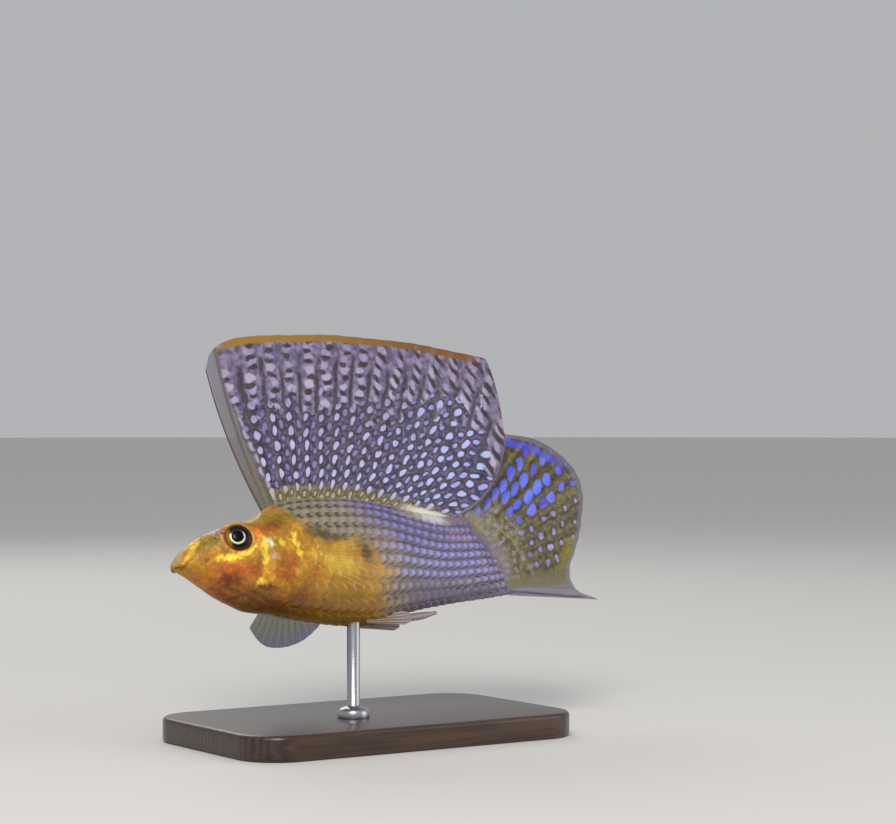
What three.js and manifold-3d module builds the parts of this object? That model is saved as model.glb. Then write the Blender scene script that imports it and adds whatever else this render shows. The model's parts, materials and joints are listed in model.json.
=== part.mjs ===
// Male sailfin molly with its sail raised, life size, on a small display stand.
// Millimetres, +Z up. The fish swims towards -X and is banked a little about its long axis.
// The fish is drawn in a frame of its own: x runs from the snout to the tail, z up the back,
// and y to its right side, so the left side, the one that the photograph shows, is at -y.
import * as THREE from "three";
import { mergeVertices } from "three/addons/utils/BufferGeometryUtils.js";
import Module from "manifold-3d";

const wasm = await Module();
wasm.setup();

// Driving sizes
const totalLength = 105;
const snoutHeight = 36;
const bankAngle = 20;
const gap = 0.3;
const ringSides = 36;

// Body stations from the snout: x, back, belly, half width, level of the widest point
const bodyRows = [
  [0, 0.25, -0.35, 0.5, 0],
  [0.4, 0.95, -0.85, 1.35, 0.05],
  [1, 1.6, -1.25, 1.95, 0.1],
  [2, 2.55, -1.75, 2.5, 0.2],
  [3.2, 3.55, -2.35, 2.95, 0.3],
  [5, 4.65, -3.7, 3.5, 0.3],
  [7.2, 5.85, -5.25, 4.1, 0.2],
  [9.5, 6.35, -6.8, 4.65, 0],
  [12, 6.9, -8.25, 5.25, -0.2],
  [15, 7.75, -9.75, 5.95, -0.4],
  [17, 8.4, -10.3, 6.3, -0.5],
  [19, 9.2, -10.2, 6.55, -0.7],
  [21, 10.3, -10.4, 6.8, -0.8],
  [24, 11.6, -11.2, 6.95, -1],
  [28, 12.5, -12.1, 7, -1.2],
  [33, 12.85, -12.9, 7, -1.2],
  [38, 12.9, -13.4, 6.8, -1],
  [43, 12.5, -13.2, 6.35, -0.8],
  [48, 11.7, -12.3, 5.7, -0.6],
  [54, 10.3, -11.1, 4.8, -0.4],
  [60, 9.1, -10.3, 3.9, -0.3],
  [66, 8.7, -9.8, 3.1, -0.3],
  [72, 9.1, -9.6, 2.3, -0.3],
  [77, 9.4, -9.5, 1.6, -0.2],
  [82, 9.6, -9.4, 1.0, -0.2],
];
const stations = [
  0.15, 0.4, 0.8, 1.3, 1.9, 2.6, 3.4, 4.2, 5, 5.8, 6.5, 7.1, 7.8, 8.6, 9.6, 10.6, 11.6, 12.6, 13.6, 14.6,
  15.6, 16.6, 17.6, 18.8, 20, 21.5, 23, 25, 27, 29, 32, 35, 38, 41, 44, 48, 52, 56, 60, 64, 68, 72, 76, 80,
];
// Superellipse powers of the section: the head's flat top, the narrower back behind it, and the belly
const crownFullness = 2.6;
const backFullness = 1.9;
const bellyFullness = 2.25;
const crownEnd = [13, 24];

// The spine swings a little to the right towards the tail
const swingStart = 35;
const swingLength = 70;
const tailSwing = 2.4;

// Head
const eyePlace = { x: 13.1, z: 4.1, sink: 0.55 };
const eyeRadius = 2.75;
const eyeHalfThickness = 1.9;
const eyeTurn = { up: 7, forward: 12 };
const gapeEnd = 5;
const nostrils = [
  { x: 8.7, z: 4.5, r: 0.38 },
  { x: 10.2, z: 5.5, r: 0.42 },
];
const gillEdge = [
  [23, 9.2], [25.5, 7.8], [27.5, 4.6], [28.5, 1], [28.2, -2.4], [26.4, -5.8], [23, -8.6], [17.6, -10.6],
];
const cheekEdge = [
  [16.8, -8.6], [18.1, -5], [18.8, -1], [18.8, 3], [19.3, 6.6], [20.9, 8.8],
];
const gillCoverThickness = 1.1;
const gillCoverFlare = { rise: 0.4, from: 18, to: 26 };

// Sail: base along the back, ray tips as u (0 front, 1 rear), x, z
const sail = { rays: 17, front: 22.3, rear: 62.8, rootDepth: 1.6, rootThickness: 1.0, edgeThickness: 0.52,
  ridge: 0.32, bowFront: 1.3, bowRear: 4.2, billow: 1.2, rearLean: 1.8, rows: 8 };
const sailTips = [
  [0, 15.2, 40.8], [0.06, 16.9, 44.4], [0.12, 20.4, 46.9], [0.2, 27, 48.4], [0.3, 36, 49.1], [0.45, 48.5, 48.9],
  [0.6, 60.5, 47.6], [0.72, 69.8, 46.1], [0.82, 77.6, 44.5], [0.88, 82.6, 43.2], [0.915, 83.6, 39.6],
  [0.955, 84, 32.6], [1, 83.6, 24.4],
];

// Tail fin: ray tips as u (0 top, 1 bottom), x, z, swing to the right
const tail = { rays: 15, topRoot: [72, 9.3], bottomRoot: [80, -9.2], rootDepth: 2.2, rootThickness: 1.1,
  edgeThickness: 0.5, ridge: 0.3, rows: 7 };
const tailTips = [
  [0, 86.6, 28.2, 2.6], [0.12, 94.6, 26.8, 2], [0.25, 100.4, 23.8, 1.4], [0.37, 103.8, 19.2, 1],
  [0.5, 105, 13.6, 1.4], [0.62, 104.2, 8.4, 2.6], [0.74, 102.6, 3.4, 4.4], [0.85, 100.6, -1.8, 6],
  [0.94, 99.8, -6.2, 4.4], [1, 102, -9.6, 1.4],
];

// Paired fins: root centre, root height, first and last ray angle in the fish's side view, ray lengths, outward spread
const pectoral = { rays: 12, x: 29.6, z: -0.9, rootHeight: 4.2, rootDepth: 1.4, rows: 5, ridge: 0.22,
  rootThickness: 0.9, edgeThickness: 0.5 };
const leftPectoral = { ...pectoral, side: -1, topAngle: 13, bottomAngle: -46, lengths: [14.2, 16.2, 14.6, 10.4],
  spread: 16, cup: 1.2 };
const rightPectoral = { ...pectoral, side: 1, topAngle: -40, bottomAngle: -122, lengths: [14.4, 15, 14.6, 11.6],
  spread: 34, cup: 1 };
const pelvic = { rays: 6, x: 41.4, z: -13, rootHeight: 1.6, rootDepth: 1.2, rows: 4, ridge: 0.15,
  rootThickness: 0.8, edgeThickness: 0.5, lengths: [7, 9, 9.4, 7.6], topAngle: 7, bottomAngle: -5, spread: 3, cup: 0.3,
  halfSpacing: 1.8 };
const gonopodium = { root: [44.2, -12.2], bend: [50.5, -13.1], tip: [58.8, -11.7], rootRadius: 1.0, tipRadius: 0.72,
  flatness: 0.75, steps: 14, sides: 10, hook: 0.35 };

// Stand
const base = { length: 76, width: 46, height: 5, corner: 9, chamfer: 0.9, centreX: -8 };
const rod = { x: 38.2, radius: 1.3, collarRadius: 3.2, collarHeight: 2.2, sides: 24 };

// Straight steps between rows of a table, smoothed so that curves have no corners
function curveThrough(rows, column, t) {
  const last = rows.length - 1;
  if (t <= rows[0][0]) return rows[0][column];
  if (t >= rows[last][0]) return rows[last][column];
  const i = rows.findIndex((row, k) => t < rows[k + 1][0]);
  const slope = (a, b) => (rows[b][column] - rows[a][column]) / (rows[b][0] - rows[a][0]);
  const mean = (a, b) => (a * b <= 0 ? 0 : (2 * a * b) / (a + b));
  const here = slope(i, i + 1);
  const before = i > 0 ? mean(slope(i - 1, i), here) : here;
  const after = i + 2 <= last ? mean(here, slope(i + 1, i + 2)) : here;
  const span = rows[i + 1][0] - rows[i][0];
  const s = (t - rows[i][0]) / span;
  const a = rows[i][column];
  const b = rows[i + 1][column];
  return a * (1 + 2 * s) * (1 - s) ** 2 + b * s * s * (3 - 2 * s)
    + span * (before * s * (1 - s) ** 2 - after * s * s * (1 - s));
}

function swing(x) {
  return x > swingStart ? tailSwing * ((x - swingStart) / swingLength) ** 2 : 0;
}

function bell(distance, width) {
  return Math.exp(-((distance / width) ** 2));
}

function sectionPower(x, above) {
  const behind = THREE.MathUtils.smoothstep(x, ...crownEnd);
  return above ? crownFullness + (backFullness - crownFullness) * behind : bellyFullness;
}

function gapeLevel(x) {
  return -0.25 + 0.12 * x - 0.07 * x * x;
}

// Lips, the fold behind the upper jaw and the rim of the orbit, as millimetres outwards
function headRelief(x, z) {
  if (x > 19) return 0;
  const lipFade = 1 / (1 + Math.exp((x - gapeEnd) * 3));
  const lips = 0.28 * bell(Math.abs(z - gapeLevel(x)) - 0.65, 0.6) * lipFade;
  const foldX = 7.3 + 0.25 * Math.sin((z - 1) * 0.9);
  const fold = z > -0.6 ? -0.28 * bell(x - foldX, 0.7) : 0;
  const fromEye = Math.hypot(x - eyePlace.x, z - eyePlace.z);
  const rim = 0.25 * bell(fromEye - eyeRadius - 0.4, 0.9);
  return lips + fold + rim;
}

// A point of the body's surface at a station and an angle from the back, grown by a distance
function bodyPoint(x, angle, grow) {
  const [back, belly, half, level] = [1, 2, 3, 4].map((column) => curveThrough(bodyRows, column, x));
  const c = Math.cos(angle);
  const s = Math.sin(angle);
  const power = sectionPower(x, c > 0);
  const size = (Math.abs(c) ** power + Math.abs(s) ** power) ** (-1 / power);
  const height = c > 0 ? back - level : level - belly;
  const z = level + c * size * height;
  const out = grow + headRelief(x, z);
  return new THREE.Vector3(x, s * size * (half + out) + swing(x), level + c * size * (height + out));
}

// A closed skin over rings of points, with a point at each end
function skinOverRings(rings, first, last) {
  const sides = rings[0].length;
  const points = [first, ...rings.flat(), last];
  const index = [];
  const at = (ring, side) => 1 + ring * sides + (side % sides);
  for (let side = 0; side < sides; side++) {
    index.push(0, at(0, side), at(0, side + 1));
    index.push(points.length - 1, at(rings.length - 1, side + 1), at(rings.length - 1, side));
    for (let ring = 0; ring + 1 < rings.length; ring++) {
      index.push(at(ring, side), at(ring + 1, side), at(ring + 1, side + 1));
      index.push(at(ring, side), at(ring + 1, side + 1), at(ring, side + 1));
    }
  }
  const geometry = new THREE.BufferGeometry().setFromPoints(points);
  geometry.setIndex(index);
  return geometry;
}

function solidOf(geometry) {
  const bare = geometry.clone();
  bare.deleteAttribute("normal");
  bare.deleteAttribute("uv");
  const merged = mergeVertices(bare, 1e-4);
  const solid = new wasm.Manifold(new wasm.Mesh({
    numProp: 3,
    vertProperties: new Float32Array(merged.attributes.position.array),
    triVerts: new Uint32Array(merged.index.array),
  }));
  if (solid.volume() > 0) return solid;
  const index = merged.index.array;
  for (let i = 0; i < index.length; i += 3) [index[i + 1], index[i + 2]] = [index[i + 2], index[i + 1]];
  return new wasm.Manifold(new wasm.Mesh({
    numProp: 3,
    vertProperties: new Float32Array(merged.attributes.position.array),
    triVerts: new Uint32Array(index),
  }));
}

function largestBody(solid) {
  return solid.decompose().reduce((a, b) => (a.volume() > b.volume() ? a : b));
}

function geometryOf(solid) {
  const mesh = solid.getMesh();
  const geometry = new THREE.BufferGeometry();
  geometry.setAttribute("position", new THREE.BufferAttribute(new Float32Array(mesh.vertProperties), 3));
  geometry.setIndex(new THREE.BufferAttribute(new Uint32Array(mesh.triVerts), 1));
  const flat = geometry.toNonIndexed();
  flat.computeVertexNormals();
  return flat;
}

// The whole body grown by a distance, and by the flare of the gill covers where they are wanted
function bodySolid(grow, flare = 0) {
  const { from, to } = gillCoverFlare;
  const rings = stations.map((x) => Array.from({ length: ringSides }, (_, i) =>
    bodyPoint(x, (i / ringSides) * 2 * Math.PI, grow + flare * THREE.MathUtils.smoothstep(x, from, to))));
  const nose = new THREE.Vector3(-0.05 - grow, 0, -0.05);
  const stump = new THREE.Vector3(stations[stations.length - 1] + 0.5 + grow, swing(80), 0);
  return solidOf(skinOverRings(rings, nose, stump));
}

// A side-view outline as a slab right across the fish, optionally from one y to another
function slab(outline, from = -30, to = 30) {
  const shape = new THREE.Shape(outline.map(([x, z]) => new THREE.Vector2(x, z)));
  const geometry = new THREE.ExtrudeGeometry(shape, { depth: to - from, bevelEnabled: false });
  geometry.rotateX(Math.PI / 2);
  geometry.translate(0, to, 0);
  return solidOf(geometry);
}

// Smooth points through a few
function smooth(points, count) {
  const curve = new THREE.CatmullRomCurve3(points.map(([x, z]) => new THREE.Vector3(x, 0, z)));
  return curve.getPoints(count).map((p) => [p.x, p.z]);
}

// The same outline moved outwards by a distance
function grown(outline, distance) {
  const area = outline.reduce((sum, [x, z], i) => {
    const [nx, nz] = outline[(i + 1) % outline.length];
    return sum + x * nz - nx * z;
  }, 0);
  const turn = Math.sign(area) * distance;
  return outline.map(([x, z], i) => {
    const [px, pz] = outline[(i + outline.length - 1) % outline.length];
    const [nx, nz] = outline[(i + 1) % outline.length];
    const a = new THREE.Vector2(z - pz, px - x).normalize();
    const b = new THREE.Vector2(nz - z, x - nx).normalize();
    const out = a.clone().add(b).divideScalar(1 + a.dot(b));
    return [x + out.x * turn, z + out.y * turn];
  });
}

// A fin: a thin ridged sheet between u 0..1 across the rays and v 0..1 along them.
// place gives the middle of the sheet, across the direction of its thickness.
function finSheet({ rays, rows, ridge, rootThickness, edgeThickness }, place, across) {
  const ridgeShare = 0.2;
  const columns = [];
  for (let ray = 0; ray < rays; ray++) {
    columns.push({ u: ray / (rays - 1), raised: 1 });
    if (ray + 1 < rays) {
      columns.push({ u: (ray + ridgeShare) / (rays - 1), raised: 0 });
      columns.push({ u: (ray + 1 - ridgeShare) / (rays - 1), raised: 0 });
    }
  }
  const points = [];
  const count = columns.length;
  for (const face of [1, -1]) {
    for (let row = 0; row <= rows; row++) {
      const v = row / rows;
      for (const { u, raised } of columns) {
        const thickness = rootThickness + (edgeThickness - rootThickness) * Math.sqrt(v)
          + raised * ridge * (1 - 0.65 * v);
        points.push(place(u, v).add(across(u, v).multiplyScalar((face * thickness) / 2)));
      }
    }
  }
  const at = (face, row, column) => face * (rows + 1) * count + row * count + column;
  const index = [];
  const quad = (a, b, c, d) => index.push(a, b, c, a, c, d);
  for (let row = 0; row < rows; row++) {
    for (let column = 0; column + 1 < count; column++) {
      quad(at(0, row, column), at(0, row, column + 1), at(0, row + 1, column + 1), at(0, row + 1, column));
      index.push(at(1, row, column), at(1, row + 1, column + 1), at(1, row, column + 1));
      index.push(at(1, row, column), at(1, row + 1, column), at(1, row + 1, column + 1));
    }
    quad(at(1, row, 0), at(0, row, 0), at(0, row + 1, 0), at(1, row + 1, 0));
    quad(at(0, row, count - 1), at(1, row, count - 1), at(1, row + 1, count - 1), at(0, row + 1, count - 1));
  }
  for (let column = 0; column + 1 < count; column++) {
    quad(at(0, 0, column + 1), at(0, 0, column), at(1, 0, column), at(1, 0, column + 1));
    quad(at(0, rows, column), at(0, rows, column + 1), at(1, rows, column + 1), at(1, rows, column));
  }
  const geometry = new THREE.BufferGeometry().setFromPoints(points);
  geometry.setIndex(index);
  return solidOf(geometry);
}

const sideways = () => new THREE.Vector3(0, 1, 0);

function sailPlace(u, v) {
  const rootX = sail.front + (sail.rear - sail.front) * u;
  const rootZ = curveThrough(bodyRows, 1, rootX) - sail.rootDepth;
  const tipX = curveThrough(sailTips, 1, u);
  const tipZ = curveThrough(sailTips, 2, u);
  const bow = (sail.bowRear * u ** 3 - sail.bowFront * (1 - u) ** 4) * 4 * v * (1 - v);
  const length = Math.hypot(tipX - rootX, tipZ - rootZ);
  const x = rootX + (tipX - rootX) * v + (bow * (tipZ - rootZ)) / length;
  const z = rootZ + (tipZ - rootZ) * v - (bow * (tipX - rootX)) / length;
  const billow = sail.billow * Math.sin(5 * u + 0.4) * v ** 1.5 - sail.rearLean * u ** 3 * v;
  return new THREE.Vector3(x, swing(x) + billow, z);
}

function tailPlace(u, v) {
  const { topRoot, bottomRoot, rootDepth } = tail;
  const rootX = topRoot[0] + (bottomRoot[0] - topRoot[0]) * u - rootDepth;
  const rootZ = (topRoot[1] + (bottomRoot[1] - topRoot[1]) * u) * 0.94;
  const x = rootX + (curveThrough(tailTips, 1, u) - rootX) * v;
  const z = rootZ + (curveThrough(tailTips, 2, u) - rootZ) * v;
  return new THREE.Vector3(x, swing(x) + curveThrough(tailTips, 3, u) * v, z);
}

function surfaceY(x, z, grow = 0) {
  const [back, belly, half, level] = [1, 2, 3, 4].map((column) => curveThrough(bodyRows, column, x));
  const power = sectionPower(x, z > level);
  const height = z > level ? back - level : level - belly;
  const share = Math.min(1, Math.abs(z - level) / height);
  return (half + grow) * (1 - share ** power) ** (1 / power);
}

// A paired fin fans out from a short root line on the flank and leans away from it
function pairedFin(fin, rootY) {
  const lengths = fin.lengths.map((length, i) => [i / (fin.lengths.length - 1), length]);
  const lean = THREE.MathUtils.degToRad(fin.spread);
  const angleAt = (u) => THREE.MathUtils.degToRad(fin.topAngle + (fin.bottomAngle - fin.topAngle) * u);
  const middle = angleAt(0.5);
  const place = (u, v) => {
    const along = (curveThrough(lengths, 1, u) + fin.rootDepth) * v - fin.rootDepth;
    const rootShift = (0.5 - u) * fin.rootHeight;
    const x = fin.x - Math.sin(middle) * rootShift + Math.cos(angleAt(u)) * along * Math.cos(lean);
    const z = fin.z + Math.cos(middle) * rootShift + Math.sin(angleAt(u)) * along * Math.cos(lean);
    const out = Math.sin(lean) * along + fin.cup * Math.sin(Math.PI * u) * v;
    return new THREE.Vector3(x, fin.side * (rootY + out) + swing(x), z);
  };
  const across = () => new THREE.Vector3(
    -Math.cos(middle) * Math.sin(lean), fin.side * Math.cos(lean), -Math.sin(middle) * Math.sin(lean),
  );
  return finSheet(fin, place, across);
}

function gonopodiumSolid() {
  const { root, bend, tip, rootRadius, tipRadius, flatness, steps, sides, hook } = gonopodium;
  const line = new THREE.QuadraticBezierCurve3(
    new THREE.Vector3(root[0], swing(root[0]), root[1]),
    new THREE.Vector3(bend[0], swing(bend[0]), bend[1]),
    new THREE.Vector3(tip[0], swing(tip[0]), tip[1]),
  );
  const rings = Array.from({ length: steps + 1 }, (_, i) => {
    const t = i / steps;
    const centre = line.getPoint(t);
    const along = line.getTangent(t);
    const joint = 0.05 * Math.sin(i * Math.PI);
    const radius = rootRadius + (tipRadius - rootRadius) * t + joint - hook * Math.max(0, t - 0.9) * 6;
    return Array.from({ length: sides }, (__, k) => {
      const angle = (k / sides) * 2 * Math.PI;
      const up = Math.cos(angle) * radius;
      return centre.clone().add(new THREE.Vector3(
        -along.z * up, Math.sin(angle) * radius * flatness, along.x * up,
      ));
    });
  });
  const end = line.getPoint(1).add(line.getTangent(1).multiplyScalar(0.3));
  return solidOf(skinOverRings(rings, line.getPoint(0).sub(line.getTangent(0).multiplyScalar(0.3)), end));
}

function eyeSolid(side, grow) {
  const geometry = new THREE.SphereGeometry(1, 22, 14);
  geometry.rotateX(Math.PI / 2);
  geometry.scale(eyeRadius + grow, eyeHalfThickness + grow, eyeRadius + grow);
  geometry.rotateX(THREE.MathUtils.degToRad(eyeTurn.up) * side);
  geometry.rotateZ(THREE.MathUtils.degToRad(eyeTurn.forward) * side);
  const y = side * (surfaceY(eyePlace.x, eyePlace.z) - eyePlace.sink);
  geometry.translate(eyePlace.x, y, eyePlace.z);
  return solidOf(geometry);
}

function nostrilSolid({ x, z, r }, side) {
  const geometry = new THREE.SphereGeometry(r, 10, 8);
  geometry.translate(x, side * surfaceY(x, z), z);
  return solidOf(geometry);
}

// Side-view outlines that part the body
const farUp = 30;
const rearOfHead = smooth(gillEdge, 18);
const headOutline = [[-6, farUp], [23.2, farUp], ...rearOfHead, [16.6, -farUp], [-6, -farUp]];
const coverOutline = [...rearOfHead, ...smooth(cheekEdge, 12)];
const jawOutline = [
  [-4, gapeLevel(0)], ...[0.6, 1.6, 2.6, 3.6, 4.4].map((x) => [x, gapeLevel(x)]),
  [gapeEnd, gapeLevel(gapeEnd)], [5.3, -2.4], [4.6, -6], [-4, -8],
];
const stalkStart = 58;
const stalkOutline = [[stalkStart + 2, farUp], [stalkStart - 2, -farUp], [100, -farUp], [100, farUp]];
const tailRootOutline = [
  [tail.topRoot[0] - 4, farUp], [tail.topRoot[0], tail.topRoot[1]], [tail.bottomRoot[0], tail.bottomRoot[1]],
  [tail.bottomRoot[0] + 4, -farUp], [110, -farUp], [110, farUp],
];

const wholeBody = bodySolid(0);
const clearOfBody = bodySolid(gap);
const underCovers = bodySolid(-gillCoverThickness - gap);
const coverShell = bodySolid(0, gillCoverFlare.rise).subtract(bodySolid(-gillCoverThickness));
const clearOfCovers = bodySolid(gap, gillCoverFlare.rise).intersect(slab(grown(coverOutline, gap)));

function headSolid() {
  let head = wholeBody.intersect(slab(headOutline));
  head = head.subtract(slab(grown(coverOutline, gap)).subtract(underCovers));
  head = head.subtract(slab(grown(jawOutline, gap / 2)));
  for (const side of [-1, 1]) {
    head = head.subtract(eyeSolid(side, gap));
    for (const nostril of nostrils) head = head.subtract(nostrilSolid(nostril, side));
  }
  return largestBody(head);
}

function gillCoverSolid(side) {
  const half = side < 0 ? slab(coverOutline, -30, -1.5) : slab(coverOutline, 1.5, 30);
  return largestBody(coverShell.intersect(half));
}

function fromBody(keep, ...remove) {
  return largestBody(remove.reduce((solid, cut) => solid.subtract(cut), wholeBody.intersect(keep)));
}

const fishPose = new THREE.Matrix4().makeTranslation(-totalLength / 2, 0, snoutHeight)
  .multiply(new THREE.Matrix4().makeRotationX(THREE.MathUtils.degToRad(-bankAngle)));

function standRodSolid() {
  const { radius, collarRadius, collarHeight, sides } = rod;
  const foot = base.height + gap;
  const top = snoutHeight;
  const profile = [
    [0, foot], [collarRadius, foot], [collarRadius, foot + collarHeight * 0.6],
    [collarRadius - 0.8, foot + collarHeight], [radius, foot + collarHeight], [radius, top], [0, top],
  ].map(([r, z]) => new THREE.Vector2(r, z));
  const geometry = new THREE.LatheGeometry(profile, sides);
  geometry.rotateX(Math.PI / 2);
  const belly = new THREE.Vector3(rod.x, swing(rod.x), curveThrough(bodyRows, 2, rod.x)).applyMatrix4(fishPose);
  geometry.translate(belly.x, belly.y, 0);
  const clear = solidOf(geometryOf(clearOfBody).applyMatrix4(fishPose));
  return largestBody(solidOf(geometry).subtract(clear));
}

function standBaseGeometry() {
  const { length, width, height, corner, chamfer, centreX } = base;
  const x = length / 2 - chamfer;
  const y = width / 2 - chamfer;
  const r = corner - chamfer;
  const shape = new THREE.Shape();
  shape.moveTo(-x + r, -y).lineTo(x - r, -y).absarc(x - r, -y + r, r, -Math.PI / 2, 0);
  shape.lineTo(x, y - r).absarc(x - r, y - r, r, 0, Math.PI / 2);
  shape.lineTo(-x + r, y).absarc(-x + r, y - r, r, Math.PI / 2, Math.PI);
  shape.lineTo(-x, -y + r).absarc(-x + r, -y + r, r, Math.PI, Math.PI * 1.5);
  const geometry = new THREE.ExtrudeGeometry(shape, {
    depth: height - 2 * chamfer, bevelThickness: chamfer, bevelSize: chamfer, bevelSegments: 2, curveSegments: 8,
  });
  geometry.translate(centreX, 0, chamfer);
  return geometryOf(solidOf(geometry));
}

// Finishes
const finish = (color, roughness, metalness = 0) => new THREE.MeshStandardMaterial({ color, roughness, metalness });
const goldSkin = finish("#c98a1e", 0.4);
const pearlSkin = finish("#7f7a92", 0.4);
const sailSkin = finish("#8d86ab", 0.5);
const tailSkin = finish("#6f6a3c", 0.5);
const clearFin = finish("#a99a6a", 0.45);
const eyeFinish = finish("#15120f", 0.15);
const standWood = finish("#2a1d14", 0.45);
const standSteel = finish("#b8bbc0", 0.3, 0.9);

function named(name, geometry, material) {
  const mesh = new THREE.Mesh(geometry, material);
  mesh.name = name;
  return mesh;
}

const fish = new THREE.Group();
fish.applyMatrix4(fishPose);
const addToFish = (name, solid, material) => fish.add(named(name, geometryOf(solid), material));

addToFish("head", headSolid(), goldSkin);
addToFish("lower_jaw", fromBody(slab(jawOutline)), goldSkin);
addToFish("gill_cover_left", gillCoverSolid(-1), goldSkin);
addToFish("gill_cover_right", gillCoverSolid(1), goldSkin);
addToFish("trunk", fromBody(wholeBody, slab(grown(headOutline, gap)), slab(grown(stalkOutline, gap))), pearlSkin);
addToFish("tail_stalk", fromBody(slab(stalkOutline), slab(grown(tailRootOutline, gap))), pearlSkin);
addToFish("eye_left", eyeSolid(-1, 0), eyeFinish);
addToFish("eye_right", eyeSolid(1, 0), eyeFinish);
addToFish("dorsal_sail", largestBody(finSheet(sail, sailPlace, sideways).subtract(clearOfBody)), sailSkin);
addToFish("tail_fin", largestBody(finSheet(tail, tailPlace, sideways)
  .intersect(slab(tailRootOutline))), tailSkin);
for (const fin of [leftPectoral, rightPectoral]) {
  const solid = pairedFin(fin, surfaceY(fin.x, fin.z)).subtract(clearOfBody).subtract(clearOfCovers);
  addToFish(fin.side < 0 ? "pectoral_fin_left" : "pectoral_fin_right", largestBody(solid), clearFin);
}
for (const side of [-1, 1]) {
  const fin = { ...pelvic, side };
  const solid = pairedFin(fin, pelvic.halfSpacing).subtract(clearOfBody);
  addToFish(side < 0 ? "pelvic_fin_left" : "pelvic_fin_right", largestBody(solid), clearFin);
}
addToFish("gonopodium", largestBody(gonopodiumSolid().subtract(clearOfBody)), clearFin);

const model = new THREE.Group();
model.add(fish);
model.add(named("stand_base", standBaseGeometry(), standWood));
model.add(named("stand_rod", geometryOf(standRodSolid()), standSteel));

export default model;
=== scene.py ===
import json
import math

import bmesh
import bpy
import numpy as np
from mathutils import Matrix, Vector

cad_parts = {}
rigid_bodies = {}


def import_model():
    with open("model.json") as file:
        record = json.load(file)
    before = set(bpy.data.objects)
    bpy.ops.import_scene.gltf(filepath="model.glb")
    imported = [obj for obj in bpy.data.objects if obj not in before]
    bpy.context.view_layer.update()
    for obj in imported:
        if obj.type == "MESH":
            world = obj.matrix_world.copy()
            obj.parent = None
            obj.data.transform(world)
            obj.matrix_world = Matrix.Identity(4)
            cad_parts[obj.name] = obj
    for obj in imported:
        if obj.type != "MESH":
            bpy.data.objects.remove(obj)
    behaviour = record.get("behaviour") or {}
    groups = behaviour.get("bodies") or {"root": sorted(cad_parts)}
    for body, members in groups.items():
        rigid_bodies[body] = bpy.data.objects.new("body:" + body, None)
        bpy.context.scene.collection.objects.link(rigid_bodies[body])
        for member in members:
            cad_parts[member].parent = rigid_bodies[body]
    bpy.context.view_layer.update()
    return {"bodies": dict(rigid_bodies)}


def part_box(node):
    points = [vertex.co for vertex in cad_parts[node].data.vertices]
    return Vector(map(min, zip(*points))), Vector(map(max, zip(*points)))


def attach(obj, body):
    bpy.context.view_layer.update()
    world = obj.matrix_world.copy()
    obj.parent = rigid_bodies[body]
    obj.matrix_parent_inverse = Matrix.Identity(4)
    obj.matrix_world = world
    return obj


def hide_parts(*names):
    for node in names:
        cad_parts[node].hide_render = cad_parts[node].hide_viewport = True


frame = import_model()
bodyName = list(frame["bodies"])[0]
mm = 0.001

# The fish is drawn in its own frame, in millimetres: x from snout to tail, y to its right, z up its back
pose = {"snoutHeight": 36.0, "bank": math.radians(20), "length": 105.0}
snoutX = -pose["length"] / 2


def toRow(points):
    x, y, z = np.moveaxis(np.asarray(points, float), -1, 0)
    c, s = math.cos(pose["bank"]), math.sin(pose["bank"])
    placed = (x + snoutX, y * c + z * s, z * c - y * s + pose["snoutHeight"])
    return np.stack(placed, -1) * mm


def smoothRow(xs, ys, t):  # a curve through a few values, with no overshoot
    xs, ys, t = np.asarray(xs, float), np.asarray(ys, float), np.asarray(t, float)
    steps = np.diff(ys) / np.diff(xs)
    slopes = np.concatenate(([steps[0]], np.zeros(len(xs) - 2), [steps[-1]]))
    same = steps[:-1] * steps[1:] > 0
    total = np.where(same, steps[:-1] + steps[1:], 1)
    slopes[1:-1] = np.where(same, 2 * steps[:-1] * steps[1:] / total, 0)
    t = np.clip(t, xs[0], xs[-1])
    i = np.clip(np.searchsorted(xs, t, side="right") - 1, 0, len(xs) - 2)
    span = xs[i + 1] - xs[i]
    s = (t - xs[i]) / span
    ends = ys[i] * (1 + 2 * s) * (1 - s) ** 2 + ys[i + 1] * s * s * (3 - 2 * s)
    return ends + span * (slopes[i] * s * (1 - s) ** 2 - slopes[i + 1] * s * s * (1 - s))


def fromTable(table, t, k=1):  # the curve of a table's column k over its first one
    return smoothRow(table[:, 0], table[:, k], t)


def ramp(low, high, t):
    s = np.clip((np.asarray(t, float) - low) / (high - low), 0, 1)
    return s * s * (3 - 2 * s)


def bell(distance, width):
    return np.exp(-((distance / width) ** 2))


def mound(x, z, px, pz, rx, rz):
    return np.exp(-((x - px) / rx) ** 2 - ((z - pz) / rz) ** 2)


def srgb(text):
    parts = [int(text[i:i + 2], 16) / 255 for i in (1, 3, 5)]
    return np.array([p / 12.92 if p <= 0.04045 else ((p + 0.055) / 1.055) ** 2.4 for p in parts])


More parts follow.
